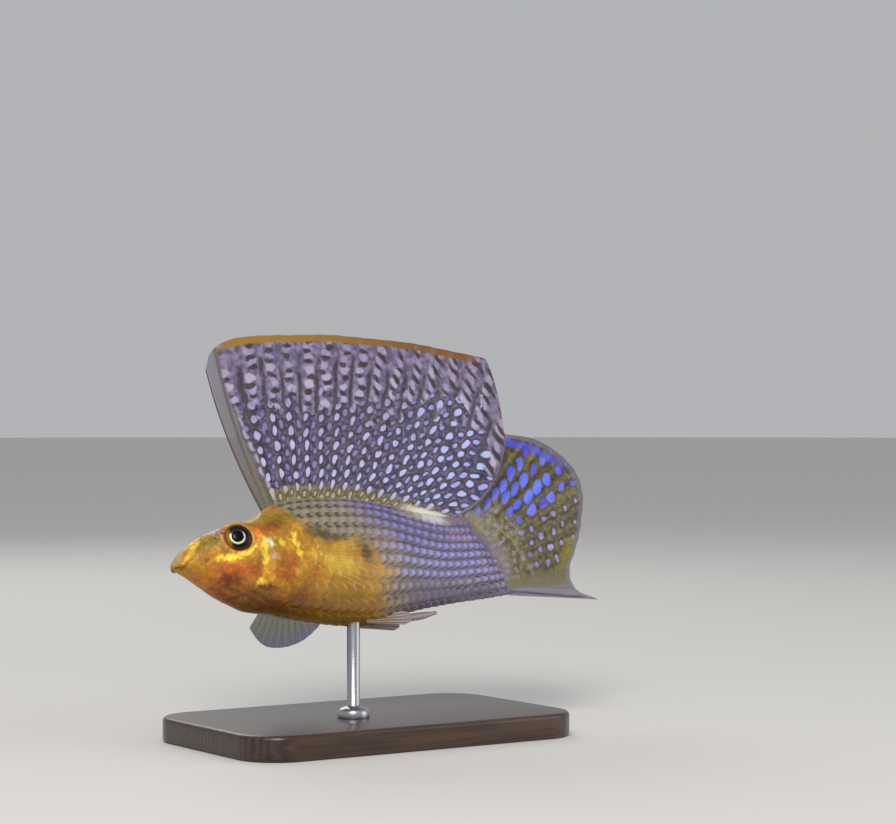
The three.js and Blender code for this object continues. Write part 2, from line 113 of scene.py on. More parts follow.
# The body
body = {
    "rows": np.array([  # x, back, belly, half width, level of the widest point
        [0.1, 0.02, -0.02, 0.02, 0],
        [0.2, 0.45, -0.36, 0.7, 0],
        [0.5, 1.0, -0.58, 1.35, 0.05],
        [1, 1.6, -0.85, 1.95, 0.1],
        [2, 2.55, -1.25, 2.5, 0.2],
        [3.2, 3.55, -1.95, 2.95, 0.3],
        [5, 4.65, -3.4, 3.5, 0.3],
        [7.2, 5.85, -5.1, 4.1, 0.2],
        [9.5, 6.45, -6.65, 4.65, 0],
        [12, 6.9, -8.0, 5.25, -0.2],
        [15, 7.75, -9.4, 5.95, -0.4],
        [17, 8.4, -9.8, 6.3, -0.5],
        [19, 9.05, -9.95, 6.55, -0.7],
        [21, 10.3, -10.4, 6.8, -0.8],
        [24, 11.6, -11.2, 6.95, -1],
        [28, 12.5, -12.1, 7, -1.2],
        [33, 12.85, -12.9, 7, -1.2],
        [38, 12.9, -13.4, 6.8, -1],
        [43, 12.5, -13.2, 6.35, -0.8],
        [48, 11.7, -12.3, 5.7, -0.6],
        [54, 10.3, -11.1, 4.8, -0.4],
        [60, 9.1, -10.3, 3.9, -0.3],
        [66, 8.7, -9.7, 3.1, -0.3],
        [72, 9.0, -9.2, 2.3, -0.3],
        [77, 9.2, -8.7, 1.6, -0.2],
        [84, 9.2, -8.4, 1.0, -0.2],
    ]),
    "crownFullness": 2.6,
    "backFullness": 1.9,
    "bellyFullness": 2.25,
    "crownEnd": (13, 24),
    "swingStart": 35,
    "swingLength": 70,
    "tailSwing": 2.4,
    "tailLine": ((72, 9.3), (80, -9.2)),
    "slant": (60, 74, 0.432),  # where the cross sections turn parallel to the tail line, and its slope
    "start": 0.1,
    "end": 77.1,
    "sunk": 0.1,  # how far the skin lies inside the solids, for the scales
}
eye = {"x": 13.1, "z": 4.1, "sink": 0.55, "radius": 2.75, "up": 7, "forward": 12}
gillEdge = np.array([
    [-10.8, 17.2], [-8.6, 23], [-5.8, 26.4], [-2.4, 28.2], [1, 28.5], [4.6, 27.5], [7.8, 25.5], [9.4, 22.6],
])  # z, x of the gill cover's rear edge
cheekEdge = np.array([
    [-7.6, 9.5], [-7.2, 13.2], [-6.2, 16.2], [-4.4, 17.9], [-2, 18.7], [1, 19], [4, 18.8], [7, 18.2],
])  # z, x of the groove that bounds the cheek


def swing(x):
    past = np.maximum(np.asarray(x, float) - body["swingStart"], 0)
    return body["tailSwing"] * (past / body["swingLength"]) ** 2


def bodySizes(x):  # back, belly, half width and level of the widest point
    return [fromTable(body["rows"], x, k) for k in (1, 2, 3, 4)]


def pastTailLine(x, z):  # millimetres behind the slanted line where the tail fin starts
    (x0, z0), (x1, z1) = body["tailLine"]
    across = math.hypot(x1 - x0, z1 - z0)
    return ((x - x0) * (z0 - z1) + (z - z0) * (x1 - x0)) / across


def tailOffset(x, z):  # how far the tail fin's middle lies aside of the body's, near its root
    fin = tailFin
    u = np.clip((fin["topRoot"][1] * 0.94 - z) / 17.4, 0, 1)
    rootX = fin["topRoot"][0] + 8 * u - fin["rootDepth"]
    tipX, tipY = [fromTable(fin["tips"], u, k) for k in (1, 3)]
    return tipY * np.clip((x - rootX) / (tipX - rootX), 0, 1)


def crownPower(x):
    behind = ramp(*body["crownEnd"], x)
    return body["crownFullness"] + (body["backFullness"] - body["crownFullness"]) * behind


def bodyShell(station, angle):
    c, s = np.cos(angle), np.sin(angle)
    start, end, slope = body["slant"]
    x = station
    for _ in range(3):
        back, belly, half, level = bodySizes(x)
        power = np.where(c > 0, crownPower(x), body["bellyFullness"])
        size = (np.abs(c) ** power + np.abs(s) ** power) ** (-1 / power)
        height = np.where(c > 0, back - level, level - belly)
        height = height * (1 - 0.05 * ramp(72, 77, station))
        z = level + c * size * height
        x = station + ramp(start, end, station) * slope * (0.05 - z)
    past = pastTailLine(x, z)
    taper = 1 - 0.72 * ramp(-5, 0.2, past)
    y = s * size * half * taper * np.sqrt(np.clip((body["end"] - station) / 0.6, 0, 1))
    return np.stack((x, y + swing(x) + tailOffset(x, z), z), -1)


def surfaceY(x, z):
    back, belly, half, level = bodySizes(x)
    power = np.where(z > level, crownPower(x), body["bellyFullness"])
    share = np.clip(np.abs(z - level) / np.where(z > level, back - level, level - belly), 0, 1)
    return half * (1 - share ** power) ** (1 / power)


eyeY = float(surfaceY(eye["x"], eye["z"])) - eye["sink"]


def fromCurve(curve, x, z):  # signed distance in front of a curve given as x over z
    slope = (fromTable(curve, z + 0.1) - fromTable(curve, z - 0.1)) / 0.2
    return (fromTable(curve, z) - x) / np.sqrt(1 + slope ** 2)


def gape(x):
    return -0.32 - 0.34 * x


head = {
    "gapeEnd": 2.0,
    "lipHeight": 0.14,
    "slitDepth": 0.3,
    "fold": (2.6, 0.75),  # the groove behind the upper lip: x at the level of the snout's tip, and its lean
    # the creases beside the fold: how far behind it, depth, lowest and highest place
    "creases": ((-1.2, 0.02, 0.5, 5), (0.9, 0.08, 1.9, 5.6), (1.8, 0.025, -0.4, 3.6)),
    "swellings": (  # x, z, half length, half height and rise of the brow, snout, cheek and vent
        (13.2, 7.3, 2.7, 0.95, 0.26), (9.6, 5.9, 1.5, 0.9, 0.16), (13, -2.6, 4.5, 2.4, 0.22),
        (44.5, -13, 3.2, 1.4, 0.35),
    ),
    "sheath": 0.34,  # height of the scaled ridge at the sail's foot
    "nostrils": ((8.6, 4.35, 0.3), (10.2, 5.35, 0.36)),
    "pores": [(17.3, 1.5), (17.2, -1.6), (16.2, -4.1), (13.6, -5.9), (10.6, -6.0), (7.4, -3.9)],
    "eyePores": (4.3, 4.1, (150, 185, 215, 245, 275, 305)),  # half width and height of their ring, and angles
}
for turn in np.radians(head["eyePores"][2]):
    across, up = head["eyePores"][:2]
    head["pores"].append((eye["x"] + across * math.cos(turn), eye["z"] + up * math.sin(turn)))


def relief(x, y, z):  # the fine shape of the skin, millimetres outwards
    inGape = 1 - ramp(head["gapeEnd"] - 0.3, head["gapeEnd"] + 0.3, x)
    fromGape = z - gape(x)
    behindTip = ramp(0.1, 1.0, x)
    out = -head["slitDepth"] * bell(fromGape, 0.11) * inGape * (0.3 + 0.7 * behindTip)
    lips = bell(fromGape - 0.62, 0.42) + bell(fromGape + 0.52, 0.34)
    out += head["lipHeight"] * lips * inGape * behindTip
    out -= 0.06 * bell(fromGape + 1.05, 0.18) * inGape * ramp(0.9, 1.8, x)
    foldX = head["fold"][0] + head["fold"][1] * z + 0.14 * np.sin(z * 1.7)
    fold = ramp(-1.5, -0.6, z)
    out += (0.16 * bell(x - foldX + 1.1, 0.8) - 0.24 * bell(x - foldX, 0.25)) * fold
    for k, (offset, depth, low, high) in enumerate(head["creases"]):
        crease = foldX + offset + 0.12 * np.sin(z * 2.3 + k)
        out -= depth * bell(x - crease, 0.18) * ramp(low - 0.6, low, z) * (1 - ramp(high - 0.8, high, z))
    for nx, nz, radius in head["nostrils"]:
        away = np.hypot(x - nx, z - nz)
        out += 0.05 * bell(away - radius * 1.7, radius * 0.5) - 0.34 * bell(away, radius * 0.85)
    for px, pz in head["pores"]:
        away = np.hypot(x - px, z - pz)
        out += 0.04 * bell(away - 0.3, 0.12) - 0.14 * bell(away, 0.15)
    for px, pz, rx, rz, height in head["swellings"]:
        out += height * mound(x, z, px, pz, rx, rz)
    cheek = fromCurve(cheekEdge, x, z)
    onCheekEdge = ramp(-7.8, -6.8, z) * (1 - ramp(6.2, 7.2, z)) * ramp(9, 11, x)
    out += (-0.08 * bell(cheek + 0.1, 0.3) + 0.05 * bell(cheek - 0.7, 0.7)) * onCheekEdge
    out -= 0.03 * bell(fromCurve(cheekEdge, x + 1.5, z), 0.25) * onCheekEdge
    cover = fromCurve(gillEdge, x, z)
    onCover = ramp(17.5, 19, x) * (1 - ramp(6.8, 9.2, z)) * ramp(-11.2, -10.2, z)
    rise = 0.2 * ramp(18, 26, x) * ramp(-0.3, 1.2, cover)
    out += onCover * (rise - 0.08 * bell(cover + 0.3, 0.25))
    out -= 0.05 * onCover * bell(fromCurve(gillEdge, x + 1.7, z), 0.25)
    spoke = np.arctan2(z - 6, x - 19.5) * 34
    out += 0.022 * np.sin(spoke) * onCover * ramp(1.5, 4, np.hypot(x - 19.5, z - 6)) * (cover > 0)
    throat = ramp(5, 8, x) * (1 - ramp(17.5, 19, x)) * (1 - ramp(-6.5, -5.2, z - 0.35 * (14 - x)))
    out += 0.06 * np.sin((z + 0.55 * x) * 5.2) * throat
    shoulder = np.hypot((x - 30.1) / 1.6, (z + 0.9) / 2.7)
    out += 0.34 * np.exp(-shoulder ** 2) * ramp(-0.3, 0.8, -cover)
    sheath = ramp(20.5, 24, x) * (1 - ramp(60, 65, x))
    back = bodySizes(x)[0]
    out += head["sheath"] * bell(np.abs(y - swing(x)), 1.1) * ramp(-3, -0.5, z - back) * sheath
    return out


def eyeNormal(side):
    up, forward = math.radians(eye["up"]), math.radians(eye["forward"])
    flat = math.cos(up)
    return np.array([-math.sin(forward) * flat, side * math.cos(forward) * flat, math.sin(up)])


def skinPoints(x, angle, lift=0.0):
    step = 0.02
    here = bodyShell(x, angle)
    along = bodyShell(x + step, angle) - bodyShell(x - step, angle)
    across = bodyShell(x, angle + step) - bodyShell(x, angle - step)
    normal = np.cross(along, across)
    size = np.linalg.norm(normal, axis=-1, keepdims=True)
    normal = np.where(size > 1e-9, normal / np.maximum(size, 1e-9), 0)
    x0, y0, z0 = np.moveaxis(here, -1, 0)
    thin = 1 - 0.8 * ramp(-5, 0.5, pastTailLine(x0, z0))
    out = relief(x0, y0, z0) * thin + lift - body["sunk"] * thin * ramp(17, 24, x0)
    points = here + normal * out[..., None]
    side = np.where(np.sin(angle) < 0, -1.0, 1.0)  # the skin swells to meet the rim of each eye
    away = np.hypot(points[..., 0] - eye["x"], points[..., 2] - eye["z"])
    n = eyeNormal(1)
    rim = eyeY - (n[0] * (points[..., 0] - eye["x"]) + n[2] * (points[..., 2] - eye["z"])) / n[1]
    target = rim + 0.2 * bell(away - 3.05, 0.42) - 1.5 * (1 - ramp(2.05, 2.75, away))
    onSide = np.abs(np.sin(angle)) > 0.12
    weight = (1 - ramp(2.9, 4.9, away)) * onSide
    points[..., 1] = points[..., 1] * (1 - weight) + side * target * weight
    return points


print("curves of the body are ready")


# Round the body places are counted by their share of the way round, from the back over the right side
roundTable = {"x": np.linspace(body["start"], body["end"], 386), "share": np.linspace(0, 1, 241)}


def fillRoundTable():
    angles = np.linspace(0, 2 * math.pi, 721)
    rows = []
    for x in roundTable["x"]:
        ring = bodyShell(np.full(721, x), angles)
        steps = np.linalg.norm(np.diff(ring, axis=0), axis=1) + 1e-6
        far = np.concatenate(([0], np.cumsum(steps)))
        rows.append(np.interp(roundTable["share"], far / far[-1], angles))
    roundTable["angle"] = np.array(rows)


def angleAt(x, share):
    table, xs, shares = roundTable["angle"], roundTable["x"], roundTable["share"]
    fx = np.clip((x - xs[0]) / (xs[1] - xs[0]), 0, len(xs) - 1.001)
    fs = np.clip(share / (shares[1] - shares[0]), 0, len(shares) - 1.001)
    i, j = fx.astype(int), fs.astype(int)
    a, b = fx - i, fs - j
    low = table[i, j] * (1 - b) + table[i, j + 1] * b
    high = table[i + 1, j] * (1 - b) + table[i + 1, j + 1] * b
    return low * (1 - a) + high * a


# Markings, shared by the skin and its scales, with painted shade in hollows and painted highlights on the snout
colours = {name: srgb(text) for name, text in {
    "gold": "#b5841c", "lemon": "#f9d744", "brass": "#d3a22a", "olive": "#80701c", "orange": "#b85c18",
    "rust": "#8c3e10", "oxblood": "#66260c", "amber": "#a8741c", "belly": "#a07214", "bellyDark": "#7c560f",
    "tan": "#8c7d66", "lavender": "#665e80", "dusk": "#625870", "chalk": "#dcd8dc", "mint": "#dcecc4",
    "lilac": "#b09cc0", "umber": "#4f4214", "slate": "#4c4660", "rose": "#a87a86", "brown": "#6b4211",
    "inkBrown": "#38290f", "flesh": "#b9813c", "shadeBlack": "#16110e", "bone": "#bdb08c", "mauve": "#6e6064",
}.items()}
goldLine = np.array([  # x, z of the line below which the flank is gold
    [0, 30], [22, 16], [26.4, 7.4], [28.8, 4.9], [31.5, 3.1], [35.2, 2.6], [40.5, 2.2], [42.4, 1.2],
    [43.4, -1.2], [44.6, -3.4], [50, -6.4], [54, -10], [58, -16], [83, -40],
])
patches = [  # colour, x, z, half length, half height, turn in degrees, strength
    ("olive", 7.2, 4.0, 2.6, 1.9, 30, 0.75),
    ("olive", 5.4, 1.4, 1.8, 1.6, 45, 0.45),
    ("lemon", 3.6, 2.4, 2.8, 0.7, 53, 0.65),
    ("orange", 2.4, 1.0, 1.6, 0.5, 53, 0.4),
    ("amber", 4.6, -1.2, 3.2, 1.3, -20, 0.4),
    # painted highlights: the next two bone patches are a pale spot on the snout's tip and a pale streak along
    # its top edge
    ("bone", 0.5, 0.7, 0.8, 0.6, 50, 0.4),
    ("bone", 3.0, 3.7, 3.0, 0.4, 46, 0.6),
    ("lilac", 9.3, 5.8, 1.1, 0.6, 15, 0.75),
    ("bone", 9.7, 4.2, 0.35, 2.2, -25, 0.4),
    ("orange", 10.6, 5.2, 0.7, 1.6, -12, 0.7),
    ("flesh", 9.2, 2.0, 1.6, 0.7, -10, 0.6),
    ("orange", 10.4, -1.9, 4.6, 1.3, -4, 0.8),
    ("orange", 6.8, 0.8, 1.5, 0.8, 0, 0.5),
    ("oxblood", 5.6, 0.05, 0.9, 0.28, -8, 0.6),
    ("orange", 13.0, -3.2, 4.8, 1.9, -8, 0.75),
    ("rust", 10.4, -5.2, 4.6, 1.7, -24, 0.7),
    ("oxblood", 9.9, -4.2, 2.3, 1.3, -12, 0.85),
    ("rust", 15.4, -2.4, 1.5, 1.8, 0, 0.4),
    ("oxblood", 17, -6.3, 3.0, 0.55, -8, 0.85),
    ("orange", 7.0, -4.6, 4.5, 0.7, -36, 0.55),
    ("rust", 10.8, -7.5, 4.4, 0.7, -33, 0.65),
    ("brown", 16.0, -8.4, 5.6, 2.1, -22, 0.95),
    ("rust", 21.4, -8.2, 3.6, 0.7, -18, 0.7),
    ("brown", 21, -9.8, 4.6, 1.2, -14, 0.8),
    ("lemon", 10.4, 0.2, 2.5, 0.68, 2, 1.0),
    ("lemon", 12.9, 0.5, 2.2, 0.72, 12, 1.0),
    ("lemon", 15.0, 1.4, 1.5, 0.5, 36, 0.95),
    ("brass", 10.9, -0.75, 0.9, 0.45, 0, 0.7),
    ("orange", 18.2, 5.6, 3.2, 1.5, 10, 0.6),
    ("olive", 23.6, 7.6, 3.8, 1.6, 18, 0.8),
    ("olive", 19.4, 8.0, 3.0, 1.0, 24, 0.6),
    ("rust", 21.2, 6.2, 2.3, 1.0, 6, 0.75),
    ("orange", 17.8, 4.4, 1.2, 2, 0, 0.5),
    ("amber", 22.6, 0.6, 2.4, 4.6, 0, 0.5),
    ("rust", 21.6, -3.8, 2.5, 2.6, -20, 0.7),
    ("orange", 22.8, -1.6, 1.8, 2.4, -10, 0.5),
    ("orange", 19.4, -3.6, 1.6, 1.6, 0, 0.4),
    ("lemon", 17.35, 0.4, 0.62, 3.0, -9, 1.0),
    ("brass", 16.8, -3.2, 0.6, 1.8, -9, 0.7),
    ("brass", 18.2, -2.4, 0.7, 2.2, -8, 0.45),
    ("lemon", 21.4, 2.3, 0.5, 1.0, 0, 0.8),
    ("lemon", 24.2, 3.2, 0.55, 1.2, -10, 0.95),
    ("lemon", 24.6, 0.6, 0.5, 2.3, 6, 0.9),
    ("brass", 22.8, 1.0, 0.6, 1.6, 0, 0.5),
    ("brass", 24.0, -3.6, 0.8, 1.4, -16, 0.5),
    ("mint", 18.95, 2.5, 0.7, 0.95, 0, 1.0),
    ("lilac", 19.0, -0.4, 0.6, 0.6, 0, 0.95),
    ("lemon", 15.8, -5.2, 0.9, 0.62, 0, 1.0),
    ("brass", 17.8, -5.0, 0.6, 0.7, 0, 0.6),
    # painted shadow: the next two umber patches darken the flank behind the top of the gill cover
    ("umber", 30.8, 3.9, 3.0, 1.2, -16, 1.0),
    ("umber", 34.4, 2.8, 2.0, 0.7, 4, 0.75),
    ("lemon", 29.6, -0.9, 1.8, 1.6, 0, 0.5),
    ("lemon", 33.0, -2.6, 4.2, 2.2, -10, 0.55),
    ("brass", 35, 0.8, 4.4, 1.2, 8, 0.5),
    ("rust", 27.4, -4.6, 2.2, 2.6, -20, 0.45),
    ("bellyDark", 32, -10.4, 9.0, 2.4, -3, 0.75),
    ("belly", 38.5, -7.0, 4.5, 3.0, 0, 0.55),
    ("oxblood", 24.8, -8.2, 3.2, 1.8, -30, 0.65),
    ("inkBrown", 40.2, -0.4, 1.4, 2.4, 8, 1.0),
    ("orange", 42.4, -0.9, 0.7, 2.2, 6, 0.45),
    ("mauve", 41.6, 1.9, 1.3, 0.8, 0, 0.6),
    ("slate", 45.6, -1.3, 0.85, 1.4, 12, 0.8),
    ("mauve", 51, -3.5, 6, 5.5, -10, 0.7),
    ("mauve", 47, -8.5, 5.5, 3.8, 0, 0.8),
    ("rose", 67, 3.6, 4.2, 1.5, -8, 0.5),
    ("rose", 73, -3.5, 3.5, 1.6, 0, 0.4),
    ("bone", 56.0, 8.8, 4.2, 1.2, -6, 0.7),
    ("chalk", 61.5, 8.0, 4.4, 1.5, -10, 1.0),
    ("rose", 68.2, 8.0, 2.6, 1.1, 0, 0.5),
    ("dusk", 64, -8.2, 14, 3.6, 2, 0.8),
    ("olive", 73.6, 6.5, 2.2, 3, 20, 0.6),
    ("olive", 77, -1, 1.6, 7, 20, 0.4),
]
notOnGold = ("mauve", "dusk", "rose", "chalk")
blotchAndShadowSpots = ((40.2, -0.4, 1.5, 2.3), (31, 3.8, 3, 1.3))  # x, z and half sizes of spots without pearly scales: a dark blotch, and the painted shadow behind the gill cover's top
brightness = {"lemon": 0.4, "brass": 0.4, "mint": 0.6, "lilac": 0.5, "bone": 0.3}  # how metallic a patch is


def markingsAndPaintedLight(x, z, upper, shift=0.0):
    below = fromTable(goldLine, x) - z
    wave = 0.5 * np.sin(x * 1.3 + z * 0.7) + 0.35 * np.sin(z * 1.9 - x * 0.6)
    blur = 1.35 + 2.2 * ramp(33, 27, x)
    gold = ramp(-1, 1, (below + wave + shift) / blur)
    gold = gold * (1 - 0.9 * ramp(41, 47.5, x - 2.6 * shift) * ramp(-3.2, -6.5, z))
    shine = 0.12 + 0.2 * gold
    rear = ramp(40, 54, x + z * 0.4)
    flank = colours["tan"] * (1 - rear)[:, None] + colours["lavender"] * rear[:, None]
    warm = ramp(26, 46, x) * ramp(-2, -8, z)
    golden = colours["gold"] * (1 - warm)[:, None] + colours["belly"] * warm[:, None]
    tint = flank * (1 - gold)[:, None] + golden * gold[:, None]
    wavyX = x + 0.26 * np.sin(2.9 * z + 1.7 * np.sin(1.9 * x)) + 0.12 * np.sin(6.3 * z + 3.1 * x)
    wavyZ = z + 0.22 * np.sin(2.7 * x + 1.3 * np.sin(2.1 * z)) + 0.12 * np.sin(5.7 * x - 2.9 * z)
    for name, px, pz, rx, rz, turn, strength in patches:
        a = math.radians(turn)
        dx, dz = wavyX - px, wavyZ - pz
        far = np.hypot((dx * math.cos(a) + dz * math.sin(a)) / rx, (dz * math.cos(a) - dx * math.sin(a)) / rz)
        mask = (strength * (1 - ramp(0.3, 1.55, far)) * (1 - gold * (name in notOnGold)))[:, None]
        tint = tint * (1 - mask) + colours[name] * mask
        shine = np.maximum(shine, mask[:, 0] * brightness.get(name, 0))
    away = np.hypot(x - eye["x"], z - eye["z"])
    orbit = (bell(away - 3.05, 0.35) * 0.5 * (1 - upper))[:, None]
    tint = tint * (1 - orbit) + colours["flesh"] * orbit
    # painted shade: the socket under the eye's rim is painted near black
    socketShade = ((1 - ramp(2.5, 2.85, away)) * (1 - upper))[:, None]
    tint = tint * (1 - socketShade) + colours["shadeBlack"] * socketShade
    # painted highlight: a pale lilac tint along the top of the snout
    snoutTopHighlight = (upper * ramp(11, 8, x) * (0.1 + 0.14 * ramp(4, 7, x)))[:, None]
    tint = tint * (1 - snoutTopHighlight) + colours["lilac"] * snoutTopHighlight
    # painted shade: a dark line along the mouth slit
    mouthSlitShade = (bell(z - gape(x), 0.14) * (1 - ramp(1.5, 2.2, x)) * 0.6)[:, None]
    tint = tint * (1 - mouthSlitShade) + colours["oxblood"] * 0.5 * mouthSlitShade
    # painted shadow: a dark line in the groove behind the gill cover's rear edge
    gillGapShade = bell(fromCurve(gillEdge, x, z) + 0.25, 0.2) * ramp(17.5, 19.5, x) * (1 - ramp(4, 8, z))
    gillGapShade = (gillGapShade * ramp(-11, -10, z) * 0.25)[:, None]
    tint = tint * (1 - gillGapShade) + colours["oxblood"] * 0.7 * gillGapShade
    # painted shade: the nostril pits are darkened
    for nx, nz, radius in head["nostrils"]:
        nostrilShade = (0.9 * bell(np.hypot(x - nx, z - nz), radius))[:, None]
        tint = tint * (1 - nostrilShade) + colours["shadeBlack"] * nostrilShade
    return tint, gold, shine


def scaleMarks(x, z):  # how pearly a scale is, how dark its dashes and how dark the lines between rows
    gold = markingsAndPaintedLight(x, z, np.zeros_like(x))[1]
    rear = ramp(38, 52, x + z * 0.5)
    lower = ramp(-4.5, -7.5, z) * ramp(46, 54, x)
    pale = ramp(5.4, 6.8, z) * ramp(54, 58, x)
    blotchAndShadow = sum(mound(x, z, *place) for place in blotchAndShadowSpots)
    pearl = (0.62 + 0.38 * rear) * (1 - gold * 0.9) * (1 - 0.8 * lower) * (1 - 0.6 * pale)
    pearl = pearl * (1 - np.minimum(blotchAndShadow, 1))
    dash = (1 - 0.6 * rear) * (1 - gold) * (1 - lower) * (1 - pale)
    net = (0.08 + 0.92 * rear) * (1 - gold * 0.85) * (1 - 0.85 * lower) * (1 - 0.8 * pale)
    return pearl, dash, net


# Meshes
def asMesh(bm, name):
    mesh = bpy.data.meshes.new(name)
    bm.to_mesh(mesh)
    bm.free()
    return mesh


def reopened(mesh):
    bm = bmesh.new()
    bm.from_mesh(mesh)
    return bm


def stored(bm, mesh):
    bm.to_mesh(mesh)
    bm.free()


def meshFromGrid(name, acrossCount, alongCount, place, attributes, mergeWithin=2e-6):
    bm = bmesh.new()
    bmesh.ops.create_grid(bm, x_segments=acrossCount, y_segments=alongCount, size=0.5)
    mesh = asMesh(bm, name)
    flat = np.empty(len(mesh.vertices) * 3)
    mesh.vertices.foreach_get("co", flat)
    flat = flat.reshape(-1, 3)
    low, high = flat.min(0), flat.max(0)
    u, v = ((flat - low) / np.maximum(high - low, 1e-9)).T[:2]
    mesh.vertices.foreach_set("co", toRow(place(u, v)).ravel())
    for key, values in attributes(u, v).items():
        addAttribute(mesh, key, values)
    mesh.update()
    bm = reopened(mesh)
    bmesh.ops.remove_doubles(bm, verts=bm.verts[:], dist=mergeWithin)
    bmesh.ops.dissolve_degenerate(bm, edges=bm.edges[:], dist=mergeWithin / 4)
    bmesh.ops.recalc_face_normals(bm, faces=bm.faces[:])
    stored(bm, mesh)
    return mesh


def addAttribute(mesh, key, values):
    values = np.asarray(values, float)
    if values.ndim == 1:
        mesh.attributes.new(key, "FLOAT", "POINT").data.foreach_set("value", values)
    elif key == "Tint":
        opaque = np.concatenate((values, np.ones((len(values), 1))), 1)
        mesh.attributes.new(key, "FLOAT_COLOR", "POINT").data.foreach_set("color", opaque.ravel())
    else:
        mesh.attributes.new(key, "FLOAT_VECTOR", "POINT").data.foreach_set("vector", values.ravel())


def inScene(name, data):
    made = bpy.data.objects.new(name, data)
    bpy.context.scene.collection.objects.link(made)
    return made


def asPiece(name, mesh, material, replaced=()):
    piece = inScene(name, mesh)
    mesh.materials.append(material)
    mesh.polygons.foreach_set("use_smooth", [True] * len(mesh.polygons))
    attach(piece, bodyName)
    if replaced:
        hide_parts(*replaced)
    return piece


# Materials
class Value:  # one output of a node: arithmetic with it adds further nodes to the tree in hand
    def __init__(self, socketShade):
        self.socketShade = socketShade

    def __add__(self, other):
        return maths("ADD", self, other)

    def __sub__(self, other):
        return maths("SUBTRACT", self, other)

    def __rsub__(self, other):
        return maths("SUBTRACT", other, self)

    def __mul__(self, other):
        return maths("MULTIPLY", self, other)

    def __truediv__(self, other):
        return maths("DIVIDE", self, other)

    def __abs__(self):
        return maths("ABSOLUTE", self)


inHand = {"tree": None}  # the node tree that is being built


def rgba(text):
    return (*srgb(text), 1.0)


def fill(sockets, values):  # a value is an output, a colour as text, or a plain number
    for key, value in values.items():
        if isinstance(value, Value):
            inHand["tree"].links.new(value.socketShade, sockets[key])
        else:
            sockets[key].default_value = rgba(value) if isinstance(value, str) else value


def newNode(kind, settings, inputs):  # the inputs go by name or by number
    made = inHand["tree"].nodes.new("ShaderNode" + kind)
    for key, value in settings.items():
        setattr(made, key, value)
    fill(made.inputs, inputs)
    return made.outputs


def node(kind, out=0, settings=None, **inputs):
    return Value(newNode(kind, settings or {}, inputs)[out])


def maths(operation, *values):
    return Value(newNode("Math", {"operation": operation}, dict(enumerate(values)))[0])


def softStep(value, low, high):
    return Value(newNode("MapRange", {"interpolation_type": "SMOOTHSTEP"}, {0: value, 1: low, 2: high})[0])


def toRange(value, low, high):
    return Value(newNode("MapRange", {}, {0: value, 3: low, 4: high})[0])


def mix(factor, a, b, blend="MIX"):
    return Value(newNode("Mix", {"data_type": "RGBA", "blend_type": blend}, {0: factor, 6: a, 7: b})[2])


def split(vector, kind="XYZ"):
    return [Value(each) for each in newNode("Separate" + kind, {}, {0: vector})]


def noise(place, scale, detail=2.0, out="Fac", **more):
    return node("TexNoise", out, Vector=place, Scale=scale, Detail=detail, **more)


def attribute(name, out="Vector"):
    return node("Attribute", out, {"attribute_name": name})


def objectPlace():
    return node("TexCoord", "Object")


def bump(height, distance, strength):
    return node("Bump", Height=height, Distance=distance * mm, Strength=strength)


def newMaterial(name):
    material = bpy.data.materials.new(name)
    material.use_nodes = True
    tree = inHand["tree"] = material.node_tree
    tree.nodes.clear()
    output = tree.nodes.new("ShaderNodeOutputMaterial")
    shader = tree.nodes.new("ShaderNodeBsdfPrincipled")
    tree.links.new(shader.outputs[0], output.inputs[0])
    return material, shader.inputs


def newGroup(name, inputs, outputs):
    group = inHand["tree"] = bpy.data.node_groups.new(name, "ShaderNodeTree")
    for way, labels in (("INPUT", inputs), ("OUTPUT", outputs)):
        for label in labels:
            kind = "NodeSocketColor" if label == "Colour" else "NodeSocketFloat"
            socketShade = group.interface.new_socket(name=label, in_out=way, socket_type=kind)
            if way == "INPUT":
                socketShade.default_value = inputs[label]
    given = group.nodes.new("NodeGroupInput").outputs
    return group, {label: Value(given[label]) for label in inputs}, group.nodes.new("NodeGroupOutput").inputs


def used(group, **inputs):
    return {each.name: Value(each) for each in newNode("Group", {"node_tree": group}, inputs)}


def fleshGroup():  # mottling, pigment specks, painted glints that brighten the colour in blobs, and a fine grain, all on Object coordinates
    group, given, out = newGroup("livingSkin", {
        "Colour": (0.8, 0.8, 0.8, 1), "Mottle": 0.3, "Specks": 0.3, "Gilt": 0.0,
    }, ("Colour", "Grain", "Cloud"))
    place = objectPlace()
    cloud = noise(place, 420.0, 5.0, Roughness=0.6)
    speck = softStep(node("TexVoronoi", "Distance", Vector=place, Scale=3400.0), 0.22, 0.1)
    sparse = softStep(noise(place, 900.0), 0.5, 0.62)
    shade = (cloud - 0.5) * given["Mottle"] + 1.0
    shaded = mix(1.0, given["Colour"], node("CombineColor", Red=shade, Green=shade, Blue=shade), "MULTIPLY")
    # painted glints: blobs where the colour is brightened
    paintedGlint = softStep(noise(place, 1400.0, 3.0), 0.48, 0.7) * given["Gilt"]
    shaded = mix(paintedGlint, shaded, mix(1.0, shaded, (2.1, 1.9, 1.2, 1.0), "MULTIPLY"))
    fill(out, {"Colour": mix(speck * sparse * given["Specks"], shaded, "#2a1a0c"), "Cloud": cloud,
               "Grain": noise(place, 2600.0, 3.0, Roughness=0.6)})
    return group


